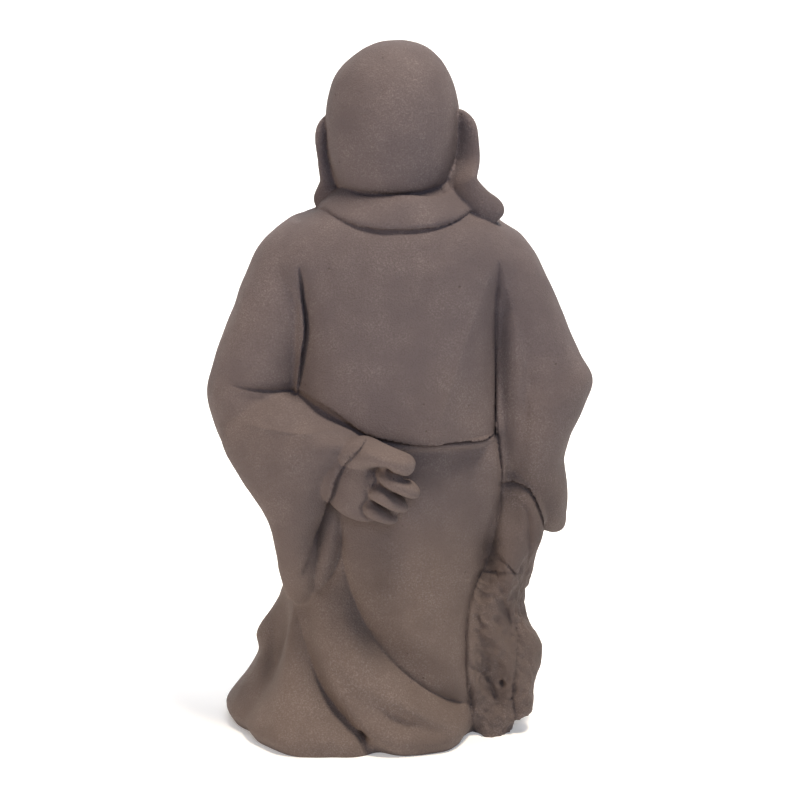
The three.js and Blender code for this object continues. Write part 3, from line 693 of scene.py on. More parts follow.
@dataclass
class Hands:
    """The left hand, closed behind the back, and the right hand on the belly."""

    palm: Rows = (
        (11.6, 11.8, 41.6, 4.4, 2.8),
        (8.2, 13.6, 40.8, 5.2, 3),
        (4.8, 14.9, 39.5, 5.8, 2.8),
        (2, 15, 38.9, 5, 2.6),
        (-0.6, 14.6, 39.2, 4.2, 2.5),
    )
    thumb: Rows = (
        (8, 14.8, 43.4, 2.4, 2.4),
        (4.6, 16.9, 44.2, 2.2, 2),
        (2.2, 18, 44, 2, 1.9),
        (-0.3, 18.2, 43, 1.9, 1.9),
        (-2, 17.7, 42.3, 1.7, 1.8),
    )
    curled: Sequence[Rows] = (
        ((2.4, 16.6, 41, 1, 1.2), (1.6, 17.9, 40.6, 1.15, 1.5), (-0.3, 18.4, 39.7, 1.15, 1.6),
         (-1.3, 17.5, 39.1, 1.1, 1.7), (-1.7, 15.2, 38.8, 1, 1.8)),
        ((3.8, 16.3, 39, 1, 1.3), (3, 17.6, 38.5, 1.15, 1.5), (1.4, 17.9, 37.6, 1.15, 1.6),
         (0.3, 17, 36.9, 1.1, 1.7), (-0.1, 14.8, 36.6, 1, 1.8)),
        ((4.5, 15.8, 36.3, 0.9, 1.2), (3.9, 16.8, 36, 1.05, 1.4), (2.8, 17.1, 35.4, 1.05, 1.5),
         (1.9, 16.2, 34.9, 1, 1.6), (1.3, 14.6, 34.6, 0.9, 1.6)),
    )
    laid: Sequence[tuple[float, float]] = ((3, 2.2), (1, 3.2), (-1.1, 3), (-3, 1.8))

    def closed(self) -> list[Skin]:
        """Makes the closed hand: the palm, the thumb along its top, and the fingers curled into the palm."""
        thumb = sweep(self.thumb, BACK, blunt=8).planed((1, 18, 44.8), (-0.2, 0.45, 1), 0.15)
        return [sweep(self.palm, BACK, sides=60), thumb, *[sweep(row, BACK, blunt=8) for row in self.curled]]

    @staticmethod
    def hollows() -> list[Stroke]:
        """Draws the hollow of the palm, and the grooves between the fingers and round their tips."""
        return [
            Stroke(((4.4, 40.4, 0.2, 0.6), (3.9, 41.4, 0.7, 0.6), (3.1, 42.1, 1.1, 0.6), (2, 42.4, 1.2, 0.5),
                    (1.3, 42, 0.8, 0.4)), Cut.VALLEY, near=14),
            *[
                Stroke([(*row, 0.24) for row in line], near=14)
                for line in (
                    ((1.6, 42.1, 0.7), (0.3, 41.6, 1), (-1.1, 40.9, 0.9), (-2.4, 40.2, 0.6)),
                    ((2.7, 40, 0.6), (1.4, 39, 1), (0, 37.9, 1), (-1, 37.2, 0.6)),
                    ((4, 37.5, 0.6), (2.5, 36.6, 1), (1.4, 35.5, 0.9), (0.6, 34.8, 0.5)),
                )
            ],
            Stroke(((3.4, 41.4, 0.5, 0.3), (3.2, 40.2, 0.7, 0.3), (4.3, 39, 0.7, 0.3), (4.5, 37.7, 0.7, 0.3),
                    (5.2, 36.4, 0.7, 0.3), (4.9, 35, 0.6, 0.3), (3.4, 33.9, 0.3, 0.3)), near=14),
        ]

    def open(self) -> list[Skin]:
        """Makes the hand that lies on the side of the belly."""
        fingers = [
            sweep([
                (-7.6, -18.3, 47.2 + rise, 1.2, 1.1),
                (-4.6, -20, 46.9 + 1.25 * rise, 1.1, 1.1),
                (-4.6 + reach, -20.4, 46.6 + 1.35 * rise, 0.9, 0.8),
            ], FRONT)
            for rise, reach in self.laid
        ]
        palm = ((-12.4, -15.4, 46.9, 3.2, 2.2), (-9.4, -17.6, 47, 3.8, 1.7), (-6.4, -19.2, 46.9, 3.6, 1.3))
        thumb = ((-11, -16.8, 49.6, 1.3, 1.2), (-8.4, -17.8, 52.2, 1.2, 1.1), (-6, -18.2, 53.2, 1, 0.9))
        return [sweep(palm, FRONT), sweep(thumb, FRONT), *fingers]


@dataclass
class Body:
    """The bare belly, chest and throat, the feet, and the gnarled stump."""

    toes: Rows = (
        (-2.3, 5.9, 1.25),
        (-0.7, 6.4, 1),
        (0.7, 6.2, 0.9),
        (1.9, 5.6, 0.85),
        (2.9, 4.8, 0.8),
    )
    stump_sections: Rows = (
        (-1, -12.8, 5.2, 3.7, 5.6),
        (0, -12.8, 5.2, 3.8, 5.8),
        (1.5, -12.9, 5, 3.9, 5.9),
        (2.5, -14.4, 4.6, 4.9, 6.2),
        (4, -14.6, 4.2, 5.1, 6.4),
        (8, -14.8, 3.6, 5.4, 7),
        (12.5, -14.8, 3.4, 5.4, 7),
        (18, -13.8, 3.2, 4.2, 6.2),
        (24, -15.4, 3.2, 4.2, 5.8),
        (31, -16.8, 3, 4.8, 5.8),
        (37, -17.4, 2.8, 4.2, 5.2),
        (40, -17.2, 2.6, 2.6, 3.6),
    )

    @staticmethod
    def stump_lift(degrees: np.ndarray, heights: np.ndarray) -> np.ndarray:
        """Winds three ridges up the stump, 0.45 * cos(3 * (a - 4 * z)), crossed by five slacker ones."""
        return 0.45 * np.cos(3 * np.radians(degrees - 4 * heights)) + 0.35 * np.sin(
            5 * np.radians(degrees) + heights / 2
        )

    def big_forms(self) -> list[Skin]:
        """Makes the belly, the chest with its two sides, the throat and the stump."""
        return [
            ball((0, -6.2, 46.5), (15.2, 13.8, 14.6), sides=120, rings=90),
            ball((0, -4.4, 64.5), (13.6, 9.6, 10.6), sides=120, rings=90),
            *[ball((side * 5.4, -8.9, 63.8), (6.6, 5.2, 5.2)) for side in (1, -1)],
            ball((0.6, -3.2, 75), (7.6, 7, 4.2)),
            stack(self.stump_sections, swell=self.stump_lift),
        ]

    @staticmethod
    def bark(vertices: np.ndarray) -> np.ndarray:
        """Gives the stump's roughness: 0.2 * |f| + 0.05 * g, where |f| leaves a ridge along each zero of f.

        The field f is a coarse one and g a fine one. Both fade out towards the skirt and the sleeve, and
        weaken to 0.3 at the stump's outer rim.

        Args:
            vertices: The figure's vertices, in parts.

        Returns:
            How far each vertex is pushed in, in parts.
        """
        x, _, z = vertices.T
        off_skirt = np.clip((-10.2 - x) / 1.2, 0, 1)
        off_sleeve = np.clip((30 - z) / 8, 0, 1)
        off_rim = np.clip((x + 21) / 3, 0.3, 1)
        ridged = np.abs(unevenness(vertices, finest=1.8, coarsest=7, seed=5))
        fine = unevenness(vertices, finest=0.8, coarsest=1.6, seed=7)
        return off_skirt * off_sleeve * off_rim * (0.2 * ridged + 0.05 * fine)

    @staticmethod
    def gouges() -> list[Stroke]:
        """Draws the crease beside the stump, its gouges and its pit."""
        return [
            Stroke(((-13.7, 28.6, 0.5, 0.35), (-12.6, 24.8, 1, 0.4), (-10.8, 21.4, 1.6, 0.45),
                    (-9.8, 17.6, 1.8, 0.5), (-9.5, 12, 1.7, 0.5), (-9.8, 7.4, 1.2, 0.5),
                    (-10.4, 3.5, 1.2, 0.5), (-10.9, 0.1, 1.2, 0.5))),
            Stroke(((-17.3, 34.6, 0.1, 0.4), (-18.4, 33.1, 0.5, 0.5), (-18.7, 29.3, 0.7, 0.6),
                    (-18.6, 25.4, 0.5, 0.5), (-18, 23.2, 0.1, 0.4))),
            Stroke(((-13.6, 27.6, 0.3, 0.35), (-14.6, 26.5, 0.8, 0.3), (-15.6, 25.8, 0.4, 0.3),
                    (-16.7, 24.3, 0.8, 0.3)), Cut.EDGE),
            Stroke(((-12.3, 23.8, 0.3, 0.4), (-14, 24.3, 0.7, 0.4), (-15.7, 24.6, 0.2, 0.3)), Cut.EDGE),
            Stroke(((-14.7, 20.6, 0.2, 0.5), (-15.3, 19.2, 0.9, 0.6), (-15.9, 17, 1, 0.6),
                    (-16.3, 14.2, 0.4, 0.5))),
            Stroke(((-10.3, 10.8, 0.4, 0.4), (-12.1, 9.3, 0.9, 0.5), (-13.3, 7.4, 0.9, 0.4),
                    (-14.1, 4.4, 0.5, 0.4))),
            Stroke(((-10.1, 8.4, 0.3, 0.4), (-10.2, 6.5, 0.8, 0.4), (-10.6, 4, 0.3, 0.4)), Cut.EDGE,
                   drop=(-1, 0)),
            Stroke(((-16.7, 17, 0.1, 0.8), (-17.1, 13.3, 0.7, 1.2), (-16.8, 9.9, 0.8, 1.2),
                    (-16.3, 5.7, 0.8, 1), (-16.8, 2, 0.5, 0.8)), Cut.EDGE, drop=(-1, 0)),
            Stroke(((-14.9, 8.1, 1.1, 0.3), (-15, 7.8, 1.1, 0.3)), Cut.VALLEY),
        ]

    def feet(self) -> list[Skin]:
        """Makes both feet, each a low ball with five toes."""
        forms = []
        for side in (1, -1):
            x, y = 5.2 + side * 6.4, -11.6
            forms.append(ball((x, y, 0.2), (3.4, 6.2, 3)))
            forms += [
                ball((x + side * out, y - on, 0.5), (half, 1.5 * half, half)) for out, on, half in self.toes
            ]
        return forms


@dataclass
class Head:
    """The bald head with its long-lobed ears and its smiling face, turned and moved as one."""

    turn: float = HEAD_TURN
    shift: Sequence[float] = (HEAD_SHIFT, 0, 0)
    skull_sections: Rows = (
        (76.2, 0, -1.8, 4.6, 5.8),
        (78.2, 0, -1.4, 7.4, 8.2),
        (81, 0, -0.6, 8.7, 9.4),
        (85, 0, 0, 9.4, 10),
        (89, 0, 0.3, 9.5, 10.2),
        (93, 0, 0.5, 8.9, 9.4),
        (96.4, -0.2, 0.6, 7.4, 7.6),
        (98.8, -0.5, 0.6, 4.9, 4.9),
        (99.7, -0.5, 0.6, 3.1, 3),
        (100, -0.4, 0.6, 1.5, 1.4),
    )
    left_ear: Rows = (
        (8.9, 1.4, 89.6, 1.8, 0.8),
        (9.2, 1.2, 87.2, 2.9, 0.9),
        (8.6, 1, 83.4, 2.9, 1),
        (8.3, 1, 79.8, 2.8, 1.2),
        (9.8, 0.8, 77, 2.4, 1.4),
        (10.6, 0.6, 75.8, 1.9, 1.5),
    )
    right_ear: Rows = (
        (-9.6, 0.9, 90.6, 1.9, 0.9),
        (-10.3, 0.75, 87.6, 2.9, 1),
        (-10.1, 0.7, 83.4, 3.5, 1.1),
        (-9.7, 2.5, 79.6, 4.2, 1.3),
        (-12.6, 2.6, 77.1, 3.1, 1.7),
        (-16.1, 1.6, 76, 2.2, 1.8),
    )
    nose: Rows = ((0, -9.3, 89.2, 0.9, 0.9), (0, -10.6, 86.6, 1, 1.1), (0, -11.2, 84.8, 1.5, 1.4))
    brow: Rows = ((6.8, -7.1, 88.9, 0.6, 0.6), (4, -9.4, 90.3, 0.8, 0.8), (1.2, -9.9, 89.2, 0.6, 0.6))
    upper_lip: Rows = ((0, -10.1, 81.2, 0.7, 0.8), (4.2, -8.6, 82.6, 0.4, 0.6))
    lower_lip: Rows = ((0, -9.8, 80, 0.9, 0.9), (3, -8.9, 81.4, 0.5, 0.6))

    def placed(self, forms: list[Skin]) -> list[Skin]:
        """Turns and moves forms with the head."""
        return [form.turned(self.turn, self.shift) for form in forms]

    def skull(self) -> list[Skin]:
        """Makes the skull."""
        return self.placed([stack(self.skull_sections, power=2.05)])

    def ears(self) -> list[Skin]:
        """Makes the ears, and fills the hollow between the right one, the skull and the collar."""
        return self.placed([
            sweep(self.left_ear, (-0.8, 0.6, 0), sides=60, rings=90),
            sweep(self.right_ear, (0.65, 0.75, 0), sides=60, rings=90),
            ball((-8.1, 1.8, 78.8), (1.6, 2.2, 1.6)),
        ])

    def lines(self) -> list[Stroke]:
        """Draws the grooves behind the ears, under the skull, and the lines of the face."""
        strokes = [
            Stroke(((10.6, 89.6, 0.1, 0.3), (10.7, 86.2, 0.5, 0.4), (10.2, 83.5, 0.6, 0.4),
                    (9, 81.1, 0.6, 0.4), (8, 79.6, 0.3, 0.4)), near=1),
            Stroke(((-8.2, 90.4, 0.1, 0.3), (-8.2, 86.2, 0.3, 0.4), (-7.9, 82.8, 0.3, 0.4),
                    (-7.6, 80.1, 0.3, 0.4), (-8.6, 77.6, 0.2, 0.4)), near=1),
            Stroke(((8.2, 79.8, 0.2, 0.4), (4.5, 79.3, 0.6, 0.4), (0, 79.1, 0.7, 0.4), (-4.2, 79.6, 0.6, 0.4),
                    (-7, 80.6, 0.2, 0.4)), near=4),
            Stroke(((11, 77.3, 0, 0.4), (9.5, 76.4, 0.3, 0.5), (7.7, 75.8, 0.5, 0.5), (4.9, 75.1, 0.6, 0.5),
                    (0.6, 74.8, 0.6, 0.5), (-3.5, 74.9, 0.6, 0.5), (-6.3, 75.2, 0.6, 0.5),
                    (-8.4, 75.8, 0.5, 0.5), (-10.9, 77, 0, 0.4)), Cut.EDGE, near=2),
            Stroke(both_sides(((0, 80.7, 1, 0.35), (2.2, 81.2, 0.9, 0.35), (3.9, 82.5, 0.4, 0.35))),
                   view=OF_FACE, near=6),
            Stroke(((0.4, 89, 0.2, 0.5), (-0.6, 87, 0.8, 0.8), (-0.2, 83.6, 0.8, 0.8), (0.4, 80.6, 0.2, 0.6)),
                   Cut.VALLEY, FROM_LEFT, near=9.6),
            Stroke(((0, 89.8, 0.2, 0.5), (0.6, 87.6, 0.8, 0.9), (0.2, 83.6, 0.8, 0.8),
                    (-0.4, 80.6, 0.2, 0.6)), Cut.VALLEY, FROM_RIGHT, near=9.2),
            Stroke(both_sides(((0, 79.1, 0.4, 0.8), (2.4, 79.4, 0.2, 0.8))), Cut.VALLEY, OF_FACE, near=6),
        ]
        for side in (1, -1):
            strokes += [
                Stroke([(side * x, *rest) for x, *rest in line], cut, OF_FACE, near=4)
                for line, cut in (
                    (((1.7, 88.9, 0.6, 0.9), (4, 89.1, 0.9, 0.8), (6.6, 88.4, 0.4, 0.8)), Cut.VALLEY),
                    (((1.9, 87, 0.3, 0.35), (3.8, 86.3, 0.9, 0.35), (5.9, 87.1, 0.5, 0.35)), Cut.CREASE),
                    (((2.2, 85, 0.5, 0.6), (3.6, 83.8, 0.8, 0.6), (4.6, 81.8, 0.6, 0.7)), Cut.VALLEY),
                )
            ]
        return strokes

    def face(self) -> list[Skin]:
        """Makes the nose, the lips, the chin, and on each side the nostril, cheek, eyelid and brow."""
        forms = [
            sweep(self.nose, FRONT),
            sweep(both_sides(self.upper_lip), FRONT),
            sweep(both_sides(self.lower_lip), FRONT),
            ball((0, -7.2, 78.6), (3.8, 2.5, 2)),
        ]
        for side in (1, -1):
            forms += [
                ball((side * 1.6, -10.2, 84.4), (1, 1, 0.8)),
                ball((side * 4.5, -6.9, 83.2), (3.1, 2.9, 2.8)),
                ball((side * 3.8, -8.6, 87.2), (2.2, 1.4, 1.2)),
                sweep([(side * row[0], *row[1:]) for row in self.brow], FRONT),
            ]
        return self.placed(forms)


# Modelling tools


@dataclass
class Clay:
    """The figure's skin while it is modelled: vertices and quads, in parts."""

    vertices: np.ndarray
    quads: np.ndarray

    @classmethod
    def fuse(cls, skins: Sequence[Skin], voxel: float) -> Clay:
        """Joins closed skins into one, as the outer shell of the voxels that they fill.

        Args:
            skins: The closed skins.
            voxel: The voxel's size, in parts.

        Returns:
            The joined skin.
        """
        counts = np.cumsum([0, *[len(skin.vertices) for skin in skins]])
        faces: list[list[int]] = []
        for skin, first in zip(skins, counts):
            faces += (skin.quads + first).tolist()
            faces += (skin.triangles + first).tolist()
        mesh = bpy.data.meshes.new("clay")
        mesh.from_pydata(np.concatenate([skin.vertices for skin in skins]), [], faces)
        lump = linked("clay", mesh)
        remesh = lump.modifiers.new("fuse", "REMESH")
        remesh.mode = "VOXEL"
        remesh.voxel_size = voxel
        shell = lump.evaluated_get(bpy.context.evaluated_depsgraph_get()).to_mesh()
        vertices = np.empty(len(shell.vertices) * 3, np.float32)
        shell.vertices.foreach_get("co", vertices)
        corners = np.empty(len(shell.loops), np.int32)
        shell.loops.foreach_get("vertex_index", corners)
        clay = cls(vertices.reshape(-1, 3).astype(float), corners.reshape(-1, 4).astype(int))
        bpy.data.objects.remove(lump)
        bpy.data.meshes.remove(mesh)
        return clay

    def skin(self) -> Skin:
        """Gives the clay as a skin that can be fused again."""
        return Skin(self.vertices, self.quads)

    def edges(self) -> np.ndarray:
        """Gives each edge once, as a pair of vertices."""
        pairs = np.concatenate([self.quads[:, [k, (k + 1) % 4]] for k in range(4)])
        low, high = pairs.min(axis=1), pairs.max(axis=1)
        key = np.unique(low * len(self.vertices) + high)
        return np.column_stack([key // len(self.vertices), key % len(self.vertices)])

    def soften(self, weight: np.ndarray | float, rounds: int) -> None:
        """Moves each vertex towards the mean of its neighbours.

        Args:
            weight: The share of the way that each vertex moves in a round, from 0 to 1.
            rounds: How often it is done.
        """
        a, b = self.edges().T
        count = len(self.vertices)
        degree = np.bincount(a, minlength=count) + np.bincount(b, minlength=count)
        share = np.broadcast_to(np.asarray(weight, float), (count,))[:, None]
        for _ in range(rounds):
            total = np.stack([
                np.bincount(a, self.vertices[b, k], count) + np.bincount(b, self.vertices[a, k], count)
                for k in range(3)
            ], axis=1)
            self.vertices = self.vertices + share * (total / degree[:, None] - self.vertices)

    def carve(self, strokes: Sequence[Stroke]) -> None:
        """Pushes the skin away from each stroke's viewer by the stroke's depth."""
        moves = [stroke.depth_at(self.vertices)[:, None] * stroke.view.away() for stroke in strokes]
        self.vertices = self.vertices + sum(moves)

    def stand(self) -> None:
        """Lays everything that reaches below the floor onto it."""
        self.vertices[:, 2] = np.maximum(self.vertices[:, 2], 0)

    def normals(self) -> np.ndarray:
        """Gives each vertex the mean of its faces' normals."""
        p = self.vertices[self.quads]
        face = np.cross(p[:, 2] - p[:, 0], p[:, 3] - p[:, 1])
        count = len(self.vertices)
        total = np.stack([
            sum(np.bincount(self.quads[:, k], face[:, axis], count) for k in range(4)) for axis in range(3)
        ], axis=1)
        return unit(total)


@dataclass
class Figure:
    """The whole cast figure, from its forms to its finished mesh.

    Attributes:
        coarse_voxel: The voxels' size when the big forms are fused, in parts.
        coarse_rounds: Rounds of softening after that.
        fine_voxel: The voxels' size when the fine forms are added, in parts.
        fine_rounds: Rounds of softening after that.
        face_rounds: Further rounds on the face alone.
        face_heights: Where the face begins and ends.
        face_nearness: The least nearness that counts as the face.
        face_half_width: How far it reaches to each side.
        softening: The share of the way that a vertex moves in a round.
        unevenness: How uneven the casting is, in parts.
        most_triangles: The most triangles that the piece may have.
    """

    coarse_voxel: float = 0.3
    coarse_rounds: int = 4
    fine_voxel: float = 0.2
    fine_rounds: int = 2
    face_rounds: int = 10
    face_heights: tuple[float, float] = (77.0, 91.0)
    face_nearness: float = 4.0
    face_half_width: float = 8.0
    softening: float = 0.5
    unevenness: float = 0.045
    most_triangles: int = 190_000

    def model(self) -> Clay:
        """Fuses the big forms, softens them, adds the fine forms, fuses again and carves the strokes."""
        robe, arms, hands, body, head = Robe(), Arms(), Hands(), Body(), Head()
        big = [*robe.big_forms(), *arms.big_forms(), *body.big_forms(), *head.skull()]
        clay = Clay.fuse(big, self.coarse_voxel)
        clay.soften(self.softening, self.coarse_rounds)
        fine = [*robe.bands(), *arms.linings(), *hands.closed(), *hands.open(), *body.feet(), *head.ears(),
                *head.face()]
        clay = Clay.fuse([clay.skin(), *fine], self.fine_voxel)
        clay.soften(self.softening, self.fine_rounds)
        across, height, near = OF_FACE.seen(clay.vertices)
        chin, crown = self.face_heights
        face = np.clip(height - chin, 0, 1) * np.clip(crown - height, 0, 1)
        face = face * np.clip(near - self.face_nearness, 0, 1) * (np.abs(across) < self.face_half_width)
        clay.soften(self.softening * face, self.face_rounds)
        swell = self.unevenness * unevenness(clay.vertices, finest=3.0, coarsest=11.0, seed=3)
        swell = swell - body.bark(clay.vertices)
        clay.vertices = clay.vertices + swell[:, None] * clay.normals()
        clay.carve([*robe.creases(), *arms.creases(), *head.lines(), *hands.hollows(), *body.gouges()])
        return clay

    def piece(self, finish: bpy.types.Material) -> bpy.types.Object:
        """Makes the finished piece, in metres, in the place of the figure's CAD node.

        Args:
            finish: The material that it is dressed in.

        Returns:
            The piece.
        """
        low, high = (np.array(corner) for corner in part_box(NODE))
        clay = self.model()
        clay.stand()
        part = (high[2] - low[2]) / PARTS_IN_HEIGHT
        vertices = clay.vertices * part
        middle = (vertices.min(axis=0) + vertices.max(axis=0)) / 2
        vertices[:, :2] += ((low + high) / 2 - middle)[:2]
        mesh = bpy.data.meshes.new("cast_figure")
        mesh.from_pydata(vertices, [], clay.quads.tolist())
        piece = linked("cast_figure", mesh)
        log.info("modelled %d quads", len(clay.quads))
        thinner = piece.modifiers.new("thin", "DECIMATE")
        thinner.ratio = min(1.0, self.most_triangles / (2 * len(clay.quads)))
        thinned = bpy.data.meshes.new_from_object(piece.evaluated_get(bpy.context.evaluated_depsgraph_get()))
        piece.modifiers.clear()
        piece.data = thinned
        bpy.data.meshes.remove(mesh)
        thinned.name = "cast_figure"
        thinned.shade_smooth()
        thinned.materials.clear()
        thinned.materials.append(finish)
        return piece


# Finish


class Shade:
    """A shader socket that adds Math nodes as Python expressions are written on it."""

    def __init__(self, tree: bpy.types.NodeTree, socket: bpy.types.NodeSocket) -> None:
        """Wraps a socket of a node tree."""
        self.tree = tree
        self.socket = socket

    def _math(self, operation: str, *values: Shade | float) -> Shade:
        """Adds a Math node of the operation on the values."""
        return add_node(self.tree, "ShaderNodeMath", {"operation": operation}, dict(enumerate(values)))

    def __add__(self, other: Shade | float) -> Shade:
        """Adds."""
        return self._math("ADD", self, other)

    def __sub__(self, other: Shade | float) -> Shade:
        """Subtracts."""
        return self._math("SUBTRACT", self, other)

    def __rsub__(self, other: float) -> Shade:
        """Subtracts from a number."""
        return self._math("SUBTRACT", other, self)

    def __mul__(self, other: Shade | float) -> Shade:
        """Multiplies."""
        return self._math("MULTIPLY", self, other)


def add_node(tree: bpy.types.NodeTree, kind: str, settings: dict[str, object] | None = None,
             inputs: dict[int | str, object] | None = None, output: int | str = 0) -> Shade:
    """Adds a node, sets it and fills its sockets.

    Args:
        tree: The material's node tree.
        kind: The node's type.
        settings: The node's own settings.
        inputs: The values or links of its sockets, by index or name.
        output: The output that is handed back.

    Returns:
        The wrapped output.
    """
    node = tree.nodes.new(kind)
    for name, value in (settings or {}).items():
        setattr(node, name, value)
    for name, value in (inputs or {}).items():
        if isinstance(value, Shade):
            tree.links.new(value.socket, node.inputs[name])
        else:
            node.inputs[name].default_value = value
    return Shade(tree, node.outputs[output])


@dataclass(frozen=True)
class CastStone:
    """Fine-grained, purplish brown-grey cast stone with pale dust in its pores, and painted light and shade:
    warm bounce light towards the ground, light on the hand behind the back, shade on the stump and in pits.

    Attributes:
        body: The stone's own colour.
        painted_bounce_warmth: Its colour near the ground, painted warm bounce light from the floor.
        pale: In the light clouds, and the painted light on the hand behind the back.
        dark: The painted shade on the stump and inside the pits, between the grains and in the dark clouds.
        dust: The specks in its pores.
        roughness: The Principled roughness.
        hand: The middle of the painted light on the hand behind the back, in metres.
        hand_light_reach: How far from there the painted light begins to fade, and where it ends, in metres.
    """

    body: tuple[float, ...] = (0.128, 0.106, 0.120, 1)
    painted_bounce_warmth: tuple[float, ...] = (0.138, 0.104, 0.092, 1)
    pale: tuple[float, ...] = (0.180, 0.143, 0.136, 1)
    dark: tuple[float, ...] = (0.076, 0.057, 0.056, 1)
    dust: tuple[float, ...] = (0.32, 0.275, 0.285, 1)
    roughness: float = 0.85
    hand: tuple[float, float, float] = (0.02, 0.152, 0.328)
    hand_light_reach: tuple[float, float] = (0.034, 0.056)

    def material(self) -> bpy.types.Material:
        """Builds the material."""
        material = bpy.data.materials.new("cast_stone")
        material.use_nodes = True
        tree = material.node_tree
        tree.nodes.clear()
        place = add_node(tree, "ShaderNodeTexCoord", output="Object")

        def noise(scale: float, detail: float) -> Shade:
            """Adds a noise of a scale, in waves to a metre."""
            inputs = {"Vector": place, "Scale": scale, "Detail": detail}
            return add_node(tree, "ShaderNodeTexNoise", inputs=inputs)

        def ramp(value: Shade, low: float, high: float) -> Shade:
            """Spreads the values between low and high over 0 to 1."""
            inputs = {"Value": value, "From Min": low, "From Max": high}
            return add_node(tree, "ShaderNodeMapRange", inputs=inputs)

        def mix(share: Shade | float, one: Shade | tuple, other: Shade | tuple) -> Shade:
            """Mixes two colours."""
            inputs = {0: share, 6: one, 7: other}
            return add_node(tree, "ShaderNodeMix", {"data_type": "RGBA"}, inputs, output=2)

        across, above = (
            add_node(tree, "ShaderNodeSeparateXYZ", inputs={"Vector": place}, output=axis) for axis in "XZ"
        )
        from_hand = add_node(tree, "ShaderNodeVectorMath", {"operation": "DISTANCE"},
                             {0: place, 1: self.hand}, output="Value")
        bubbles = add_node(tree, "ShaderNodeTexVoronoi", inputs={"Vector": place, "Scale": 34.0})
        clouds, smudges, grain, grit = noise(5, 4), noise(30, 4), noise(560, 2), noise(1100, 2)
        # Masks from 0 to 1 over places in metres: painted warm bounce light near the ground, painted light on
        # the hand behind the back, painted shade on the stump, and the pits, which get painted shade inside
        low = ramp(clouds * 0.4 - above, -0.28, 0.02)
        # painted light: paler round the hand behind the back
        painted_hand_light = 1 - ramp(from_hand, *self.hand_light_reach)
        # painted shade: darker on the stump, under the sleeve
        stump = ramp(above * -0.11 - across, 0.072, 0.086) * ramp(above * -1, -0.33, -0.28)
        pits = 1 - ramp(bubbles, 0.03, 0.055)
        specks = ramp(grain, 0.53, 0.70) * ramp(clouds * 0.5 + smudges * 0.5, 0.42, 0.6)
        colour = mix(ramp(clouds * 0.6 + smudges * 0.4, 0.36, 0.64), self.dark, self.pale)
        # painted warm bounce light from the floor, mixed in towards the ground
        colour = mix(0.7, colour, mix(low, self.body, self.painted_bounce_warmth))
        for share, tint in (
            # painted shade on the stump
            (stump * 0.42, self.dark),
            # painted light on the hand behind the back
            (painted_hand_light * 0.5, self.pale),
            ((1 - ramp(grain, 0.3, 0.55)) * 0.35, self.dark),
            (specks * 0.34, self.dust),
            # painted shade inside the pits
            (pits * 0.7, self.dark),
        ):
            colour = mix(share, colour, tint)
        height = grain * 0.8 + grit * 0.4 + smudges * 1.2 - pits * 0.7
        inputs = {"Height": height, "Strength": 0.7, "Distance": 0.0014}
        bump = add_node(tree, "ShaderNodeBump", inputs=inputs)
        inputs = {"Base Color": colour, "Roughness": self.roughness, "Normal": bump}
        shader = add_node(tree, "ShaderNodeBsdfPrincipled", inputs=inputs)
        surface = tree.nodes.new("ShaderNodeOutputMaterial")
        tree.links.new(shader.socket, surface.inputs["Surface"])
        return material


# Studio


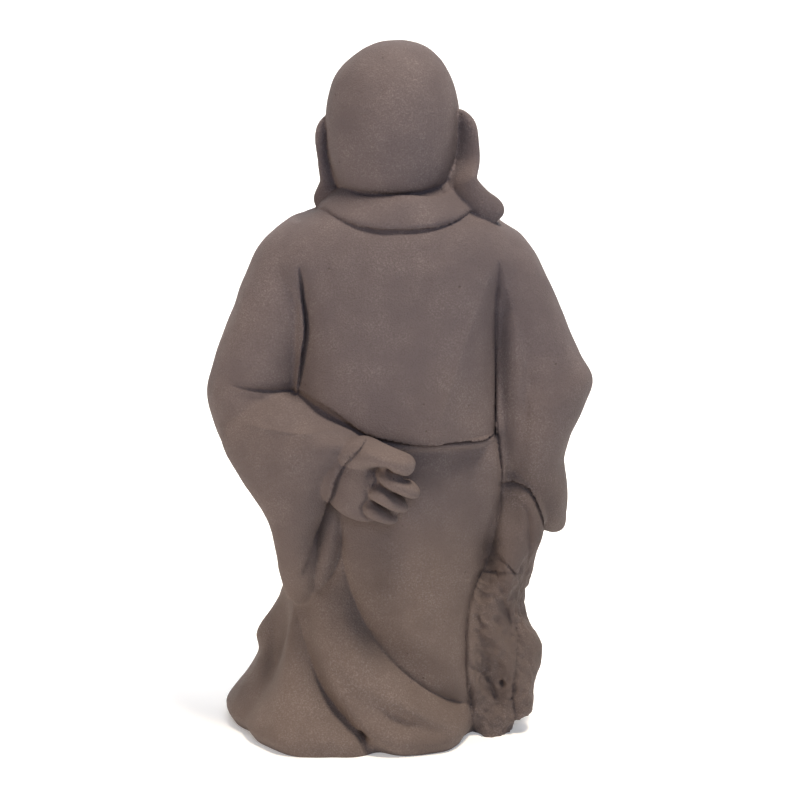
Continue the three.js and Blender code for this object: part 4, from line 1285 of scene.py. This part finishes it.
@dataclass
class Studio:
    """The pale floor and backdrop, the soft lights, and the camera at the photograph's view."""

    eye: tuple[float, float, float] = (0.0, 3.118, 1.12)
    aim: tuple[float, float, float] = (0.0, -0.97437, -0.22495)
    focal_pixels: float = 2750.0
    frame_pixels: float = 800.0
    axis_row: float = 384.5
    sensor_mm: float = 36.0

    def camera(self) -> None:
        """Sets the camera: the figure's back, from slightly above."""
        data = bpy.data.cameras.new("camera")
        data.sensor_width = self.sensor_mm
        data.lens = self.focal_pixels / self.frame_pixels * self.sensor_mm
        data.shift_y = (self.axis_row - self.frame_pixels / 2) / self.frame_pixels
        camera = linked("camera", data)
        ahead = Vector(self.aim).normalized()
        across = ahead.cross(Vector((0, 0, 1))).normalized()
        above = across.cross(ahead)
        turn = Matrix((across, above, -ahead)).transposed().to_4x4()
        camera.matrix_world = Matrix.Translation(self.eye) @ turn
        bpy.context.scene.camera = camera

    def light(self, name: str, place: Sequence[float], target: Sequence[float], size: float, watts: float,
              colour: Sequence[float]) -> None:
        """Hangs a square area light that points from its place to its target."""
        data = bpy.data.lights.new(name, "AREA")
        data.size, data.energy, data.color = size, watts, colour
        lamp = linked(name, data)
        lamp.location = place
        lamp.rotation_euler = (Vector(target) - Vector(place)).to_track_quat("-Z", "Y").to_euler()

    def floor(self) -> None:
        """Lays a pale floor that curves up into a backdrop: a profile carried along X."""
        bend = np.linspace(0, np.pi / 2, 24)
        front, back, radius, top, width = 4.5, 3.0, 1.5, 6.0, 12.0
        y = np.concatenate([[front], -back - radius * np.sin(bend), [-back - radius]])
        z = np.concatenate([[0], radius * (1 - np.cos(bend)), [top]])
        profile = np.stack([np.zeros_like(y), y, z], axis=1)
        vertices = np.concatenate([profile + (-width / 2, 0, 0), profile + (width / 2, 0, 0)])
        k, n = np.arange(len(y) - 1), len(y)
        mesh = bpy.data.meshes.new("studio_floor")
        mesh.from_pydata(vertices, [], np.stack([k, k + 1, k + 1 + n, k + n], axis=1).tolist())
        mesh.shade_smooth()
        paper = bpy.data.materials.new("pale_paper")
        paper.use_nodes = True
        shader = paper.node_tree.nodes["Principled BSDF"]
        for name, value in (
            ("Base Color", (0.88, 0.88, 0.88, 1)),
            ("Roughness", 0.9),
            ("Emission Color", (1, 1, 1, 1)),
            ("Emission Strength", 0.25),
        ):
            shader.inputs[name].default_value = value
        mesh.materials.append(paper)
        floor = linked("studio_floor", mesh)

    def build(self) -> None:
        """Sets up the camera, the floor, the lights and the room's own light."""
        self.camera()
        self.floor()
        middle = (0.0, 0.0, 0.4)
        self.light("overhead", (-0.8, 0.9, 4.2), middle, 0.9, 185, (1.0, 0.86, 0.68))
        self.light("left", (2.4, 1.5, 0.6), (0.05, 0.0, 0.2), 0.9, 22, (1.0, 0.74, 0.48))
        self.light("behind camera", (-0.6, 3.6, 2.3), (0.0, 0.0, 0.6), 1.0, 27, (0.60, 0.74, 1.0))
        self.light("backdrop", (0.0, -1.2, 2.6), (0.0, -4.2, 0.3), 3.0, 130, (1.0, 1.0, 1.0))
        world = bpy.data.worlds.new("room")
        world.use_nodes = True
        room = world.node_tree.nodes["Background"]
        room.inputs["Color"].default_value = (0.95, 0.95, 1.0, 1)
        room.inputs["Strength"].default_value = 0.12
        bpy.context.scene.world = world
        bpy.context.scene.view_settings.view_transform = "Standard"


def main() -> None:
    """Builds the studio and the figure."""
    logging.basicConfig(level=logging.INFO, format="%(message)s")
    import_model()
    Studio().build()
    figure = Figure().piece(CastStone().material())
    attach(figure, "root")
    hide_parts(NODE)
    log.info("cast figure: %d faces", len(figure.data.polygons))


if __name__ == "__main__":
    main()
